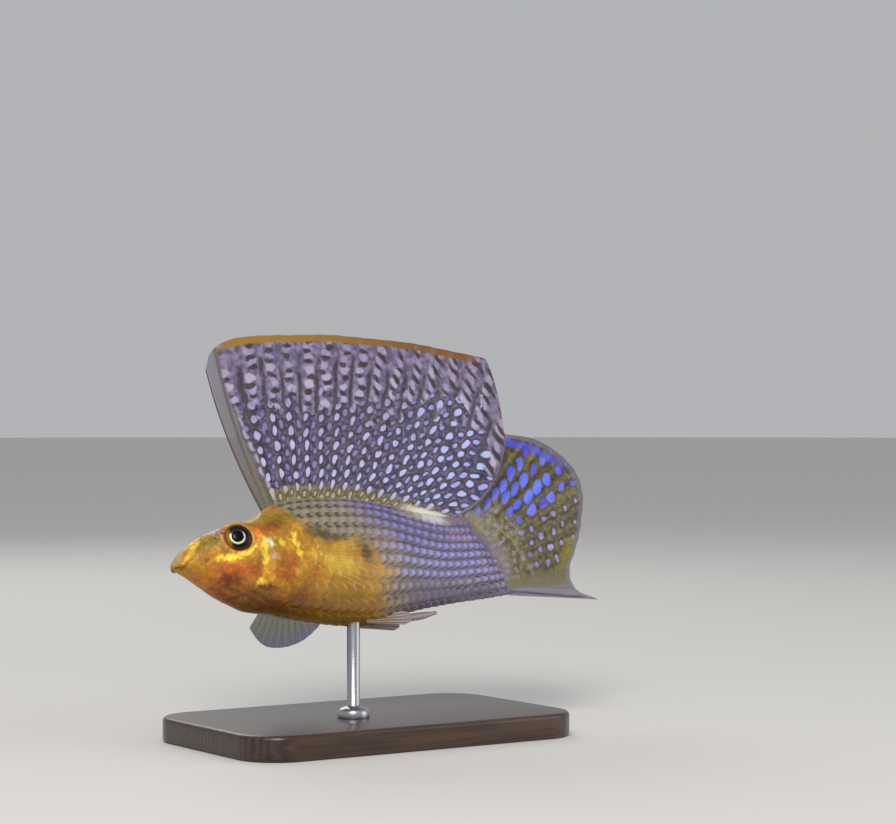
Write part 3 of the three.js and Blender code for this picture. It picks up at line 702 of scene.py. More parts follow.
def spotGroup():  # oval spots in rows along a fin's rays, a cell for each, with smaller ones in odd columns
    group, given, out = newGroup("spotRows", {
        "Across": 0.0, "Along": 0.0, "Width": 0.36, "Length": 0.38, "Wander": 0.3, "Shrink": 0.0, "Lean": 0.0,
    }, ("Core", "Ring", "Chance", "Odd"))
    column = maths("FLOOR", given["Across"])
    odd = maths("MODULO", column, 2.0)
    along = given["Along"] + odd * 0.5
    cell = node("CombineXYZ", X=column, Y=maths("FLOOR", along))
    chance = split(node("TexWhiteNoise", "Color", {"noise_dimensions": "3D"}, Vector=cell), "Color")
    size = (1.0 - odd * given["Shrink"]) * (chance[2] * 0.25 + 0.85)
    dx, dy = [maths("FRACT", value) - 0.5 + (shift - 0.5) * given["Wander"]
              for value, shift in ((given["Across"], chance[0]), (along, chance[1]))]
    dx, dy = (dx - dy * given["Lean"]) / (given["Width"] * size), dy / (given["Length"] * size)
    far = maths("SQRT", dx * dx + dy * dy)
    core, ring = softStep(far, 1.05, 0.68), softStep(far, 2.1, 1.35)
    fill(out, {"Core": core, "Ring": ring, "Chance": chance[2], "Odd": odd})
    return group


livingSkin = fleshGroup()
spotRows = spotGroup()


def skinMaterial():
    material, shader = newMaterial("goldenSkin")
    flesh = used(livingSkin, Colour=attribute("Tint", "Color"), Mottle=1.5, Specks=0.6, Gilt=0.45)
    fill(shader, {
        "Base Color": flesh["Colour"], "Metallic": attribute("Shine", "Fac") * (flesh["Grain"] * 0.7 + 0.6),
        "Roughness": toRange(flesh["Cloud"], 0.36, 0.62), "Normal": bump(flesh["Grain"], 0.06, 0.45),
        "Coat Weight": 0.16, "Coat Roughness": 0.16, "Subsurface Weight": 0.1, "Subsurface Scale": 0.0012,
    })
    return material


def scaleMaterial():
    material, shader = newMaterial("pearlScales")
    p, q = split(attribute("scalePlace"))[:2]  # 0 to 1 from root to rear edge, and -1 to 1 across
    pearly, dashes, net = split(attribute("scaleMarks"))
    flesh = used(livingSkin, Colour=attribute("Tint", "Color"), Mottle=0.9, Specks=0.4)
    pearl = softStep(abs(q), 0.6, 0.18) * softStep(p, 0.42, 0.66) * softStep(p, 0.97, 0.8) * pearly
    colour = mix(pearl * 0.78, flesh["Colour"], mix(softStep(pearly, 0.6, 1.0), "#b0a594", "#938fda"))
    edge = maths("MAXIMUM", softStep(abs(q), 0.5, 0.74), softStep(p, 0.86, 0.97) * 0.45) * net
    colour = mix(edge * 0.8, colour, "#39323c")
    first = softStep(q, -0.28, -0.45) * softStep(p, 0.6, 0.7) * softStep(p, 1.0, 0.95)
    second = softStep(q, 0.3, 0.45) * softStep(p, 0.34, 0.44) * softStep(p, 0.74, 0.68)
    colour = mix(maths("MAXIMUM", first, second) * dashes * 0.8, colour, "#3a2e20")
    rings = maths("SINE", (p + q * q * -0.2) * 70.0)
    fill(shader, {
        "Base Color": colour, "Metallic": pearl * 0.1 + attribute("Shine", "Fac"), "Roughness": 0.36,
        "Normal": bump(rings * 0.3 + flesh["Grain"], 0.02, 0.5), "Coat Weight": 0.4, "Coat Roughness": 0.15,
    })
    return material


def finParts():
    place, edge, rims = [split(attribute(name)) for name in ("finPlace", "finEdge", "finRims")]
    where = objectPlace()
    wave = [each - 0.5 for each in split(noise(where, 330.0, out="Color"), "Color")[:2]]
    return place, edge, rims, where, wave


def rayLine(ray, branch, width):
    near = abs(maths("FRACT", ray + 0.5) - 0.5)
    return softStep(abs(near - branch), width, width * 0.4)


def finishFin(shader, where, colour, alpha, subsurface=0.0, roughness=0.4, coatRoughness=0.2, grain=3000.0):
    fill(shader, {
        "Base Color": colour, "Alpha": alpha, "Normal": bump(noise(where, grain), 0.03, 0.4),
        "Roughness": roughness, "Coat Weight": 0.2, "Coat Roughness": coatRoughness,
        "Subsurface Weight": subsurface, "Subsurface Scale": 0.0008,
    })


def sailMaterial():
    material, shader = newMaterial("spottedSail")
    (ray, along, _), (lead, share, branch), rims, where, wave = finParts()
    rear = softStep(ray, 8.5, 14.5)
    spots = used(spotRows, Across=ray * 2.0 + wave[0] * 0.7, Along=along * (1 / 3.0) + wave[1] * 0.8,
                 Width=0.4, Length=0.36, Wander=0.18, Shrink=0.28, Lean=softStep(ray, 0.5, 6.0) * 0.42)
    membrane = mix(softStep(noise(where, 900.0), 0.4, 0.62), "#463d58", "#6e6388")
    lower = mix(spots["Ring"] * (0.95 - spots["Odd"] * 0.45), membrane, "#1d1722")
    line = share + wave[1] * 0.75 + rear * -0.08
    fading = softStep(line, 0.28, 0.6)
    bright = mix(rear, mix(fading, "#bcb6e6", "#9a90be"), "#b4bcf8")
    dim = mix(rear, mix(fading, "#857bb4", "#7d719c"), "#a6a6e6")
    lower = mix(spots["Core"], lower, mix(spots["Odd"], bright, dim))
    column = ray + wave[0] * 0.5
    high = along * (1 / 2.9) + wave[1] * 0.8 + maths("MAXIMUM", ray - 8.0, 0.0) * 1.1
    pale = used(spotRows, Across=column, Along=high, Width=0.27, Length=0.34, Wander=0.2)
    blots = used(spotRows, Across=column, Along=high + 0.5, Width=rear * 0.2 + 0.28, Length=0.24, Wander=0.34)
    upper = mix(softStep(noise(where, 700.0), 0.38, 0.64), "#5c5276", "#897d9b")
    paleColour = mix(pale["Chance"], "#a397c4", "#c0b4cc")
    upper = mix(pale["Core"] * (0.85 - softStep(share, 0.7, 0.95) * 0.4), upper, paleColour)
    upper = mix(blots["Core"] * 0.9, upper, "#2c1f10")
    streak = rayLine(column, 0.0, 0.16) * softStep(share, 0.44, 0.56)
    upper = mix(streak * softStep(share + wave[1] * 0.7, 0.92, 0.72) * 0.92, upper, "#231d36")
    colour = mix(softStep(line, 0.54, 0.66), lower, upper)
    colour = mix(rayLine(ray, branch, 0.09) * 0.3, colour, "#5d4e48")
    footColour = mix(spots["Core"] * 0.8, mix(spots["Ring"] * 0.8, "#8b8058", "#4b4214"), "#b9af92")
    cream = softStep(ray, 11.6, 13.6) * softStep(along + wave[1] * 2.0, 4.0, 3.0)
    foot = softStep(along + wave[0] * 2.0, 5.6, 3.2)
    colour = mix(foot, colour, mix(cream, footColour, "#dcd7c6"))
    fromBand = lead - (share * 2.6 + wave[0] * 1.4 + 3.4)  # the plain band along the leading edge
    front = softStep(fromBand, 0.5, -0.5)
    strand = rayLine(ray * 2.0, 0.0, 0.1) * 0.6
    colour = mix(front, colour, mix(strand, mix(share, "#6f6444", "#7f788c"), "#4c4438"))
    beads = softStep(maths("SINE", along * 2.3), -1.3, 0.1)
    inner = softStep(abs(fromBand - 0.55), 0.5, 0.2) * softStep(share, 0.75, 0.5) * beads
    colour = mix(inner * 0.7, colour, "#b9b2c0")
    colour = mix(softStep(lead, 0.6, 0.25) * 0.9, colour, "#2b2330")
    gold = softStep(rims[0] + wave[1] * 0.9, 1.95, 1.35)
    gold = gold * softStep(ray, 0.35, 0.9) * softStep(ray, 13.9, 13.2)
    colour = mix(gold, colour, mix(softStep(ray, 2.0, 12.0), "#987012", "#7b4e10"))
    margin = softStep(rims[1], 0.75, 0.4) * softStep(ray, 12.0, 13.6)
    colour = mix(margin * 0.7, colour, "#8f8394")
    finishFin(shader, where, colour, 1.0 - front * (1.0 - strand) * (1.0 - gold) * 0.42, 0.12)
    return material


def tailMaterial():
    material, shader = newMaterial("spottedTail")
    (ray, along, rim), (_, share, branch), rims, where, wave = finParts()
    blue = softStep(ray + wave[1] * 2.0, 7.4, 5.0)
    shrink = 1.0 - softStep(share, 0.6, 0.9) * 0.35
    spots = used(spotRows, Across=ray * 0.78 + wave[0] * 0.5, Along=along * (1 / 3.9) + wave[1] * 0.5,
                 Width=shrink * (blue * 0.09 + 0.27), Length=shrink * (blue * 0.3 + 0.22), Wander=0.26,
                 Lean=blue * -0.3)
    fibre = softStep(noise(where, 800.0, 3.0), 0.4, 0.6)
    colour = mix(spots["Ring"] * 0.75, mix(fibre, "#40330b", "#736416"), "#362a0c")
    spotColour = mix(spots["Chance"], mix(blue, "#7f76c8", "#3436e6"), mix(blue, "#a69cdc", "#5f78ff"))
    colour = mix(spots["Core"], colour, spotColour)
    worms = noise(where, 560.0, Distortion=0.6)
    rootColour = mix(softStep(worms, 0.46, 0.38) * 0.85, mix(fibre, "#5f5424", "#857a44"), "#463410")
    rootColour = mix(softStep(worms, 0.53, 0.61) * 0.85, rootColour, "#8d84a6")
    root = softStep(along + wave[0] * 5.0, 14.5, 9.5) * softStep(ray, 1.4, 3.2)
    colour = mix(root, colour, rootColour)
    colour = mix(softStep(along, 6.5, 2.5) * 0.7, colour, mix(softStep(ray, 2.0, 6.0), "#8f8450", "#8a7f8e"))
    low = softStep(ray + wave[0] * 1.5, 10.8, 12.6)
    colour = mix(low, colour, mix(softStep(ray, 12.3, 13.6), "#72683a", "#857f92"))
    yellow = softStep(abs(ray - 10.6), 1.5, 0.4) * softStep(rims[0], 7.0, 3.5)
    colour = mix(yellow * 0.75, colour, "#95861a")
    streak = softStep(abs(rim + wave[1] * 2.0 - 3.1), 1.35, 0.7) * softStep(ray, 5.0, 3.6)
    colour = mix(streak * softStep(wave[0], -0.16, -0.04) * 0.9, colour, "#4046d8")
    margin = softStep(rim + wave[0], 2.3, 0.8)
    colour = mix(margin * 0.85, colour, "#5f5578")
    colour = mix(rayLine(ray, branch, 0.1) * 0.35, colour, "#66582c")
    finishFin(shader, where, colour, 1.0 - margin * 0.5, 0.1)
    return material


def clearFinMaterial(name, tones, alpha, fade):
    membrane, rayColour, foot = tones
    material, shader = newMaterial(name)
    (ray, along, _), (_, _, branch), _, where, _ = finParts()
    thin = rayLine(ray, branch, 0.15)
    colour = mix(thin * 0.8, mix(softStep(along, *fade), membrane, foot), rayColour)
    strand = thin * (softStep(along, 11.0, 3.0) * 0.4 + 0.05)
    solid = maths("MAXIMUM", strand + alpha, softStep(along, 3.2, 1.2) * 0.7)
    finishFin(shader, where, colour, solid, 0.0, 0.35, 0.15, 3500.0)
    return material


def eyeMaterial():
    material, shader = newMaterial("wetEye")
    ring, forward, up = split(attribute("irisPlace"))
    where = objectPlace()
    fleck = noise(where, 3800.0, 4.0, Roughness=0.7)
    warped = ring + (noise(where, 1500.0) - 0.5) * 0.2 + softStep(up, 0.5, 1.4) * 0.2
    dark = mix(softStep(fleck, 0.5, 0.75), "#0e0a0a", "#3a2c1e")
    dark = mix(softStep(forward, 1.35, 2.0) * 0.85, dark, mix(fleck, "#8a4c14", "#c48428"))
    silver = mix(softStep(fleck, 0.36, 0.62), "#6e6c80", "#a9a8bc")
    silver = mix(softStep(forward - up, -0.3, 1.0), silver, "#dfe6b4")
    silver = mix(softStep(up, 0.25, 0.95) * 0.95, silver, "#2c2438")
    band = softStep(warped, 1.7, 1.56)
    colour = mix(softStep(ring, 1.27, 1.19), mix(band, dark, silver), "#030303")
    fill(shader, {
        "Base Color": mix(softStep(ring, 2.1, 2.6) * 0.45, colour, "#6b4222"), "Roughness": 0.3,
        "Metallic": band * softStep(ring, 1.19, 1.27) * 0.5, "Specular IOR Level": 0.08, "Coat Weight": 0.14,
        "Coat Roughness": 0.04,
    })
    return material


def woodMaterial():
    material, shader = newMaterial("darkStainedWood")
    where = objectPlace()
    stretched = node("Mapping", Vector=where, Scale=(14, 120, 120))
    bent = mix(0.12, stretched, noise(stretched, 1.3, 3.0, "Color"))
    rings = node("TexWave", "Fac", {"wave_type": "BANDS", "bands_direction": "Y"}, Vector=bent, Scale=2.2,
                 Distortion=5.0, Detail=3.0)
    grain = softStep(noise(node("Mapping", Vector=where, Scale=(60, 1500, 1500)), 1.0, 3.0), 0.36, 0.6)
    fill(shader, {
        "Base Color": mix((1.0 - grain) * 0.55, mix(rings, "#2a1a10", "#4a2f1c"), "#170e08"),
        "Normal": bump(grain, 0.05, 0.25), "Roughness": 0.38, "Coat Weight": 0.35, "Coat Roughness": 0.18,
    })
    return material


def steelMaterial():
    material, shader = newMaterial("satinSteel")
    lines = noise(node("Mapping", Vector=objectPlace(), Scale=(300, 300, 9000)), 1.0)
    fill(shader, {"Base Color": mix(lines, "#9a9ca0", "#c6c8cc"), "Roughness": toRange(lines, 0.22, 0.38),
                  "Normal": bump(lines, 0.01, 0.3), "Metallic": 1.0})
    return material


print("materials are ready")


# The skin, one piece over every node of flesh
skin = {
    "around": 192,
    "spacing": ((0.1, 0.06), (0.5, 0.1), (6, 0.11), (12, 0.16), (30, 0.18), (40, 0.32), (77.1, 0.35)),
    "nodes": ("head", "lower_jaw", "gill_cover_left", "gill_cover_right", "trunk", "tail_stalk"),
}


def makeSkin():
    fine = np.linspace(body["start"], body["end"], 4000)
    spacing = np.interp(fine, *zip(*skin["spacing"]))  # how far apart the rings of faces are, over x
    far = np.concatenate(([0], np.cumsum((fine[1:] - fine[:-1]) / spacing[1:])))
    alongCount = int(far[-1])

    def spread(u, v):
        x = np.interp(u * far[-1], far, fine)
        return x, angleAt(x, v)

    def place(u, v):
        return skinPoints(*spread(u, v))

    def marks(u, v):
        points = place(u, v)
        x, z = points[:, 0], points[:, 2]
        aside = np.abs(points[:, 1] - swing(x)) / np.maximum(bodySizes(x)[2], 0.1)
        tint, _, shine = markingsAndPaintedLight(x, z, ramp(0.6, 0.3, aside) * (z > 1))
        return {"Tint": tint, "Shine": shine}

    mesh = meshFromGrid("skin", alongCount, skin["around"], place, marks)
    return asPiece("skin", mesh, skinMaterial(), skin["nodes"])


# Scales, joined into one piece, in long rows that are offset by half a scale
scales = {
    "rows": 22, "first": 16.5, "last": 76.0, "frontPitch": 2.15, "rearPitch": 1.85, "segments": 7, "seed": 11,
    "length": 1.75, "halfWidth": 0.64, "roundness": 0.5, "rise": 0.17, "snoutTopHighlight": 0.05, "narrowBack": 0.2,
    "bakePatch": 0.026, "bakeLength": 66, "bakeEdge": 0.02,
}


def rowShare(row, x):  # rows are narrower along the back, in front of the tail stalk
    t = row / scales["rows"]
    amount = scales["narrowBack"] * (1 - ramp(45, 65, x))
    return t - amount * np.sin(2 * math.pi * t) / (2 * math.pi)


def scaleOutline(u, v, pitch):  # root to rear edge and side to side of one scale, with a rounded rear edge
    p, q = u, 2 * v - 1
    along = (p - 1) * scales["length"] * pitch - scales["roundness"] * pitch * p * np.abs(q) ** 2.2
    width = scales["halfWidth"] * (0.82 + 0.18 * np.sin(math.pi * np.clip(p + 0.1, 0, 1)))
    lift = -0.07 + scales["rise"] * ramp(0.15, 0.95, p) + scales["snoutTopHighlight"] * (1 - q * q)
    tucked = np.maximum(ramp(0.95, 1, p), ramp(0.88, 1, np.abs(q)))
    return p, q, along, q * width, lift * (1 - tucked) - 0.09 * tucked


def scalePlaces():
    kept = []
    for row in range(scales["rows"]):
        x = scales["first"]
        while x < scales["last"]:
            rear = float(ramp(35, 65, x))
            pitch = scales["frontPitch"] * (1 - rear) + scales["rearPitch"] * rear
            tip = x + 0.5 * pitch * (row % 2)
            share = float(rowShare(row + 0.5, tip))
            middle = tip - 0.5 * pitch
            z = skinPoints(np.array([middle]), angleAt(np.array([middle]), np.array([share])))[0][2]
            if fromCurve(gillEdge, middle, z) < -0.9 and pastTailLine(tip, z) < -0.4:
                kept.append((tip, share, z, pitch))
            x += pitch
    return np.array(kept)


def makeScales():
    rng = np.random.default_rng(scales["seed"])
    kept = scalePlaces()
    bm = bmesh.new()
    bm.loops.layers.uv.new("OFBake")
    for _ in kept:
        bmesh.ops.create_grid(bm, x_segments=scales["segments"], y_segments=scales["segments"], size=0.5)
    mesh = asMesh(bm, "scales")
    total = len(mesh.vertices) // len(kept)
    flat = np.empty(len(mesh.vertices) * 3)
    mesh.vertices.foreach_get("co", flat)
    local = flat.reshape(len(kept), total, 3)[:, :, :2] + 0.5
    points, places, marks, tints, shines, patchUV = [], [], [], [], [], []
    for (tip, share, z, pitch), grid in zip(kept, local):
        size = 1 + rng.uniform(-0.04, 0.04)
        p, q, along, across, lift = scaleOutline(grid[:, 0], grid[:, 1], pitch)
        here = np.minimum(tip + along * size + rng.uniform(-0.07, 0.07), body["end"] - 0.7)
        there = np.mod(share + across * size / scales["rows"] + rng.uniform(-0.0012, 0.0012), 1)
        points.append(skinPoints(here, angleAt(here, there), lift + rng.uniform(-0.01, 0.015)))
        places.append(np.stack((p, q, np.full(total, rng.random())), -1))
        middle = tip - 0.4 * pitch
        marks.append(np.tile(np.ravel(scaleMarks(np.array([middle]), np.array([z]))), (total, 1)))
        centred = np.exp(-((p - 0.68) / 0.25) ** 2 - (q / 0.45) ** 2)
        shift = 2.6 * centred - 1.1 + rng.uniform(-0.6, 0.6)
        tint, _, shine = markingsAndPaintedLight(here, points[-1][:, 2], np.zeros(total), shift)
        tints.append(tint * rng.uniform(0.88, 1.12))
        shines.append(shine)
        corner = np.array([(tip - scales["first"]) / scales["bakeLength"], share * (1 - 2 * scales["bakeEdge"])])
        patchUV.append(corner + scales["bakeEdge"] + (grid - 0.5) * scales["bakePatch"])
    mesh.vertices.foreach_set("co", toRow(np.concatenate(points)).ravel())
    for key, values in (("scalePlace", places), ("scaleMarks", marks), ("Tint", tints), ("Shine", shines)):
        addAttribute(mesh, key, np.concatenate(values))
    corners = np.empty(len(mesh.loops), int)
    mesh.loops.foreach_get("vertex_index", corners)
    mesh.uv_layers["OFBake"].data.foreach_set("uv", np.concatenate(patchUV)[corners].ravel())
    mesh.update()
    faceOutwards(mesh)
    return asPiece("scales", mesh, scaleMaterial())


def faceOutwards(mesh):  # open sheets are turned so that they look away from the fish's middle line
    bm = reopened(mesh)
    wrong = []
    for face in bm.faces:
        middle = face.calc_center_median()
        x = middle.x / mm - snoutX
        if face.normal.dot(middle - Vector(toRow((x, float(swing(x)), -0.5)))) < 0:
            wrong.append(face)
    bmesh.ops.reverse_faces(bm, faces=wrong)
    stored(bm, mesh)


# Fins
def finMesh(name, fin, place):
    spaces = fin["rays"] - 1
    step = 1e-3

    def flatShare(u):
        folded = 2 * u
        return np.where(folded <= 1, folded, 2 - folded), np.where(folded <= 1, 1.0, -1.0)

    def reach(share, v):  # how long the ray is, from root to tip
        return np.linalg.norm(place(share, np.ones_like(v)) - place(share, np.zeros_like(v)), axis=-1)

    def put(u, v):
        share, face = flatShare(u)
        here = place(share, v)
        across = place(share + step, v) - place(share - step, v)
        along = place(share, v + step) - place(share, v - step)
        normal = np.cross(across, along)
        normal /= np.maximum(np.linalg.norm(normal, axis=-1, keepdims=True), 1e-9)
        ray = share * spaces
        near = np.abs(np.mod(ray + 0.5, 1) - 0.5)
        branch = fin["fork"] * ramp(fin["forkFrom"], 1.05, v)
        length = reach(share, v)
        joints = 1 + 0.3 * np.cos(2 * math.pi * v * length / fin["joint"]) * ramp(0.15, 0.35, v)
        ridge = fin["ridge"] * bell(near - branch, fin["rayWidth"]) * (1 - 0.7 * v) * joints
        edge = np.minimum(np.minimum(share, 1 - share) * fin["span"], (1 - v) * length)
        thick = (fin["rootThick"] + (fin["thick"] - fin["rootThick"]) * np.sqrt(v) + ridge) * np.sqrt(
            np.clip(edge / 0.35, 0, 1))
        thick = thick * ramp(0, 0.02, v)
        slack = fin["slack"] * (np.cos(2 * math.pi * ray) - 1) * 0.5 * ramp(0.1, 0.5, v)
        return here + normal * (face * thick / 2 + slack)[..., None]

    def marks(u, v):
        share = flatShare(u)[0]
        length = reach(share, v)
        rootToLead = np.linalg.norm(place(share, v) - place(np.zeros_like(v), v), axis=-1)
        toRear = np.linalg.norm(place(share, v) - place(np.ones_like(v), v), axis=-1)
        outer = np.minimum((1 - v) * length, toRear + 0.3)
        branch = fin["fork"] * ramp(fin["forkFrom"], 1.05, v)
        return {
            "finPlace": np.stack((share * spaces, v * length, outer), -1),
            "finEdge": np.stack((rootToLead, v, branch), -1),
            "finRims": np.stack(((1 - v) * length, toRear, 0 * v), -1),
        }

    return meshFromGrid(name, 2 * spaces * fin["perSpace"], fin["rows"], put, marks)


sail = {
    "rays": 17, "perSpace": 12, "rows": 130, "rootThick": 0.7, "thick": 0.22, "ridge": 0.34, "rayWidth": 0.1,
    "fork": 0.2, "forkFrom": 0.45, "joint": 0.8, "slack": 0.16, "span": 62, "front": 22.3, "rear": 62.8,
    "rootDepth": 1.6, "bowFront": 1.3, "bowRear": 4.2, "billow": 1.2, "rearLean": 1.8,
    "tips": np.array([
        [0, 15.2, 40.8], [0.022, 16.9, 44.4], [0.045, 20.4, 46.9], [0.07, 23.8, 47.9], [0.12, 28.6, 48.55],
        [0.2, 35, 49.02], [0.3, 42.4, 49.1], [0.45, 53, 48.55], [0.6, 63.2, 47.2], [0.72, 71.2, 45.85],
        [0.82, 78.2, 44.35], [0.88, 82.6, 43.2], [0.915, 83.6, 39.6], [0.955, 84, 32.6], [1, 83.6, 24.4],
    ]),
}


def sailPlace(u, v):
    u = np.clip(u, 0, 1)
    rootX = sail["front"] + (sail["rear"] - sail["front"]) * u
    rootZ = bodySizes(rootX)[0] - sail["rootDepth"]
    tipX, tipZ = [fromTable(sail["tips"], u, k) for k in (1, 2)]
    bow = (sail["bowRear"] * u ** 3 - sail["bowFront"] * (1 - u) ** 4) * 4 * v * (1 - v)
    length = np.hypot(tipX - rootX, tipZ - rootZ)
    x = rootX + (tipX - rootX) * v + bow * (tipZ - rootZ) / length
    z = rootZ + (tipZ - rootZ) * v - bow * (tipX - rootX) / length
    billow = sail["billow"] * np.sin(5 * u + 0.4) * np.abs(v) ** 1.5 - sail["rearLean"] * u ** 3 * v
    ripple = 0.22 * np.sin(u * 23 + v * 3) * v ** 2
    return np.stack((x, swing(x) + billow + ripple, z), -1)


tailFin = {
    "rays": 15, "perSpace": 9, "rows": 90, "rootThick": 0.9, "thick": 0.22, "ridge": 0.36, "rayWidth": 0.11,
    "fork": 0.22, "forkFrom": 0.3, "joint": 0.7, "slack": 0.14, "span": 36, "topRoot": (72, 9.3),
    "bottomRoot": (80, -9.2), "rootDepth": 2.2,
    "tips": np.array([
        [0, 86.6, 28.2, 2.6], [0.12, 94.6, 26.8, 2], [0.25, 100.4, 23.8, 1.4], [0.37, 103.8, 19.2, 1],
        [0.5, 105, 13.6, 1.4], [0.62, 104.2, 8.4, 2.6], [0.74, 102.6, 3.4, 4.4], [0.85, 100.6, -1.8, 6],
        [0.94, 99.8, -6.2, 4.4], [1, 103, -9.9, 1.4],
    ]),
}


def tailPlace(u, v):
    u = np.clip(u, 0, 1)
    (x0, z0), (x1, z1) = tailFin["topRoot"], tailFin["bottomRoot"]
    rootX = x0 + (x1 - x0) * u - tailFin["rootDepth"]
    rootZ = (z0 + (z1 - z0) * u) * 0.94
    tipX, tipZ, tipY = [fromTable(tailFin["tips"], u, k) for k in (1, 2, 3)]
    x = rootX + (tipX - rootX) * v
    z = rootZ + (tipZ - rootZ) * v
    ripple = 0.25 * np.sin(u * 19 + 1 + v * 2) * v ** 2
    return np.stack((x, swing(x) + tipY * v + ripple, z), -1)


pairedBase = {
    "rays": 12, "perSpace": 9, "rows": 60, "rootThick": 0.6, "thick": 0.12, "ridge": 0.26, "rayWidth": 0.13,
    "fork": 0.2, "forkFrom": 0.4, "joint": 0.5, "slack": 0.08, "span": 12, "x": 29.6, "z": -0.9,
    "rootHeight": 4.2, "rootDepth": 1.4,
}
pectoralLeft = {
    **pairedBase, "side": -1, "topAngle": 13, "bottomAngle": -46, "lengths": (14.2, 16.2, 14.6, 10.4),
    "lean": 16, "cup": 1.2,
}
pectoralRight = {
    **pairedBase, "side": 1, "topAngle": -40, "bottomAngle": -122, "lengths": (14.4, 15, 14.6, 11.6),
    "lean": 34, "cup": 1.0,
}
pelvicBase = {
    **pairedBase, "rays": 6, "x": 41.4, "z": -13, "rootHeight": 1.6, "rootDepth": 1.2, "topAngle": 7,
    "bottomAngle": -5, "lengths": (7, 9, 9.4, 7.6), "lean": 3, "cup": 0.3, "span": 2.4, "rayWidth": 0.16,
    "ridge": 0.2, "rootY": 1.8,
}


def pairedPlace(fin, rootY):
    lengthAt = np.linspace(0, 1, len(fin["lengths"]))
    lean = math.radians(fin["lean"])
    middle = math.radians((fin["topAngle"] + fin["bottomAngle"]) / 2)

    def place(u, v):
        u = np.clip(u, 0, 1)
        angle = np.radians(fin["topAngle"] + (fin["bottomAngle"] - fin["topAngle"]) * u)
        far = (smoothRow(lengthAt, fin["lengths"], u) + fin["rootDepth"]) * v - fin["rootDepth"]
        shift = (0.5 - u) * fin["rootHeight"]
        x = fin["x"] - math.sin(middle) * shift + np.cos(angle) * far * math.cos(lean)
        z = fin["z"] + math.cos(middle) * shift + np.sin(angle) * far * math.cos(lean)
        out = math.sin(lean) * far + fin["cup"] * np.sin(math.pi * u) * v
        return np.stack((x, fin["side"] * (rootY + out) + swing(x), z), -1)

    return place


def makeFins():
    yellowFin = clearFinMaterial("yellowPectoral", ("#a8882c", "#e2b63a", "#c4922a"), 0.03, (11.0, 2.5))
    greyFin = clearFinMaterial("mistyPectoral", ("#3a3fb8", "#5d6440", "#767a22"), 0.55, (16.0, 12.5))
    pinkFin = clearFinMaterial("pinkPelvic", ("#8f7f86", "#b3a3a6", "#8f7a5c"), 0.75, (11.0, 2.5))
    asPiece("sail", finMesh("sail", sail, sailPlace), sailMaterial(), ("dorsal_sail",))
    asPiece("tailFin", finMesh("tailFin", tailFin, tailPlace), tailMaterial(), ("tail_fin",))
    rootY = float(surfaceY(pairedBase["x"], pairedBase["z"]))
    pelvicLeft, pelvicRight = [{**pelvicBase, "side": side} for side in (-1, 1)]
    for fin, y, label, cadNode, material in (
            (pectoralLeft, rootY, "pectoralLeft", "pectoral_fin_left", yellowFin),
            (pectoralRight, rootY, "pectoralRight", "pectoral_fin_right", greyFin),
            (pelvicLeft, pelvicBase["rootY"], "pelvicLeft", "pelvic_fin_left", pinkFin),
            (pelvicRight, pelvicBase["rootY"], "pelvicRight", "pelvic_fin_right", pinkFin)):
        asPiece(label, finMesh(label, fin, pairedPlace(fin, y)), material, (cadNode,))
    return pinkFin


gonopodium = {"root": (44.2, -12.2), "bend": (50.5, -13.1), "tip": (58.8, -11.7), "rootRadius": 1.0,
              "tipRadius": 0.72, "flatness": 0.75, "steps": 120, "around": 32, "joints": 21}


def makeGonopodium(material):
    g = gonopodium

    def put(t, v):
        (x0, z0), (x1, z1), (x2, z2) = g["root"], g["bend"], g["tip"]
        x = x0 * (1 - t) ** 2 + 2 * x1 * t * (1 - t) + x2 * t * t
        z = z0 * (1 - t) ** 2 + 2 * z1 * t * (1 - t) + z2 * t * t
        dx, dz = 2 * (x1 - x0) * (1 - t) + 2 * (x2 - x1) * t, 2 * (z1 - z0) * (1 - t) + 2 * (z2 - z1) * t
        size = np.hypot(dx, dz)
        angle = v * 2 * math.pi
        radius = g["rootRadius"] + (g["tipRadius"] - g["rootRadius"]) * t
        radius = radius * (1 - 0.45 * ramp(0.75, 0.97, t)) * np.sqrt(np.clip((1 - t) / 0.03, 0, 1))
        radius = radius * np.sqrt(np.clip(t / 0.02, 0, 1))
        radius = radius * (1 + 0.07 * np.cos(t * g["joints"] * 2 * math.pi) * ramp(0.3, 0.5, t))
        radius = radius * (1 - 0.16 * bell(np.sin(angle), 0.25) * ramp(0.15, 0.4, t))
        up = np.cos(angle) * radius / size
        return np.stack((x - dz * up, swing(x) + np.sin(angle) * radius * g["flatness"], z + dx * up), -1)

    def marks(u, v):
        none, far = 0 * u, 5 + 0 * u  # no rim is near anywhere
        rows = {"finPlace": (v * 4, u * 14, far), "finEdge": (far, u, none), "finRims": (far, far, far)}
        return {key: np.stack(row, -1) for key, row in rows.items()}

    mesh = meshFromGrid("gonopodium", g["steps"], g["around"], put, marks)
    asPiece("gonopodium", mesh, material, ("gonopodium",))


# Eyes
eyeShape = {"dome": 1.2, "pupilForward": 0.42, "pupilUp": -0.06, "around": 96, "rings": 56, "rimDepth": 0.9}


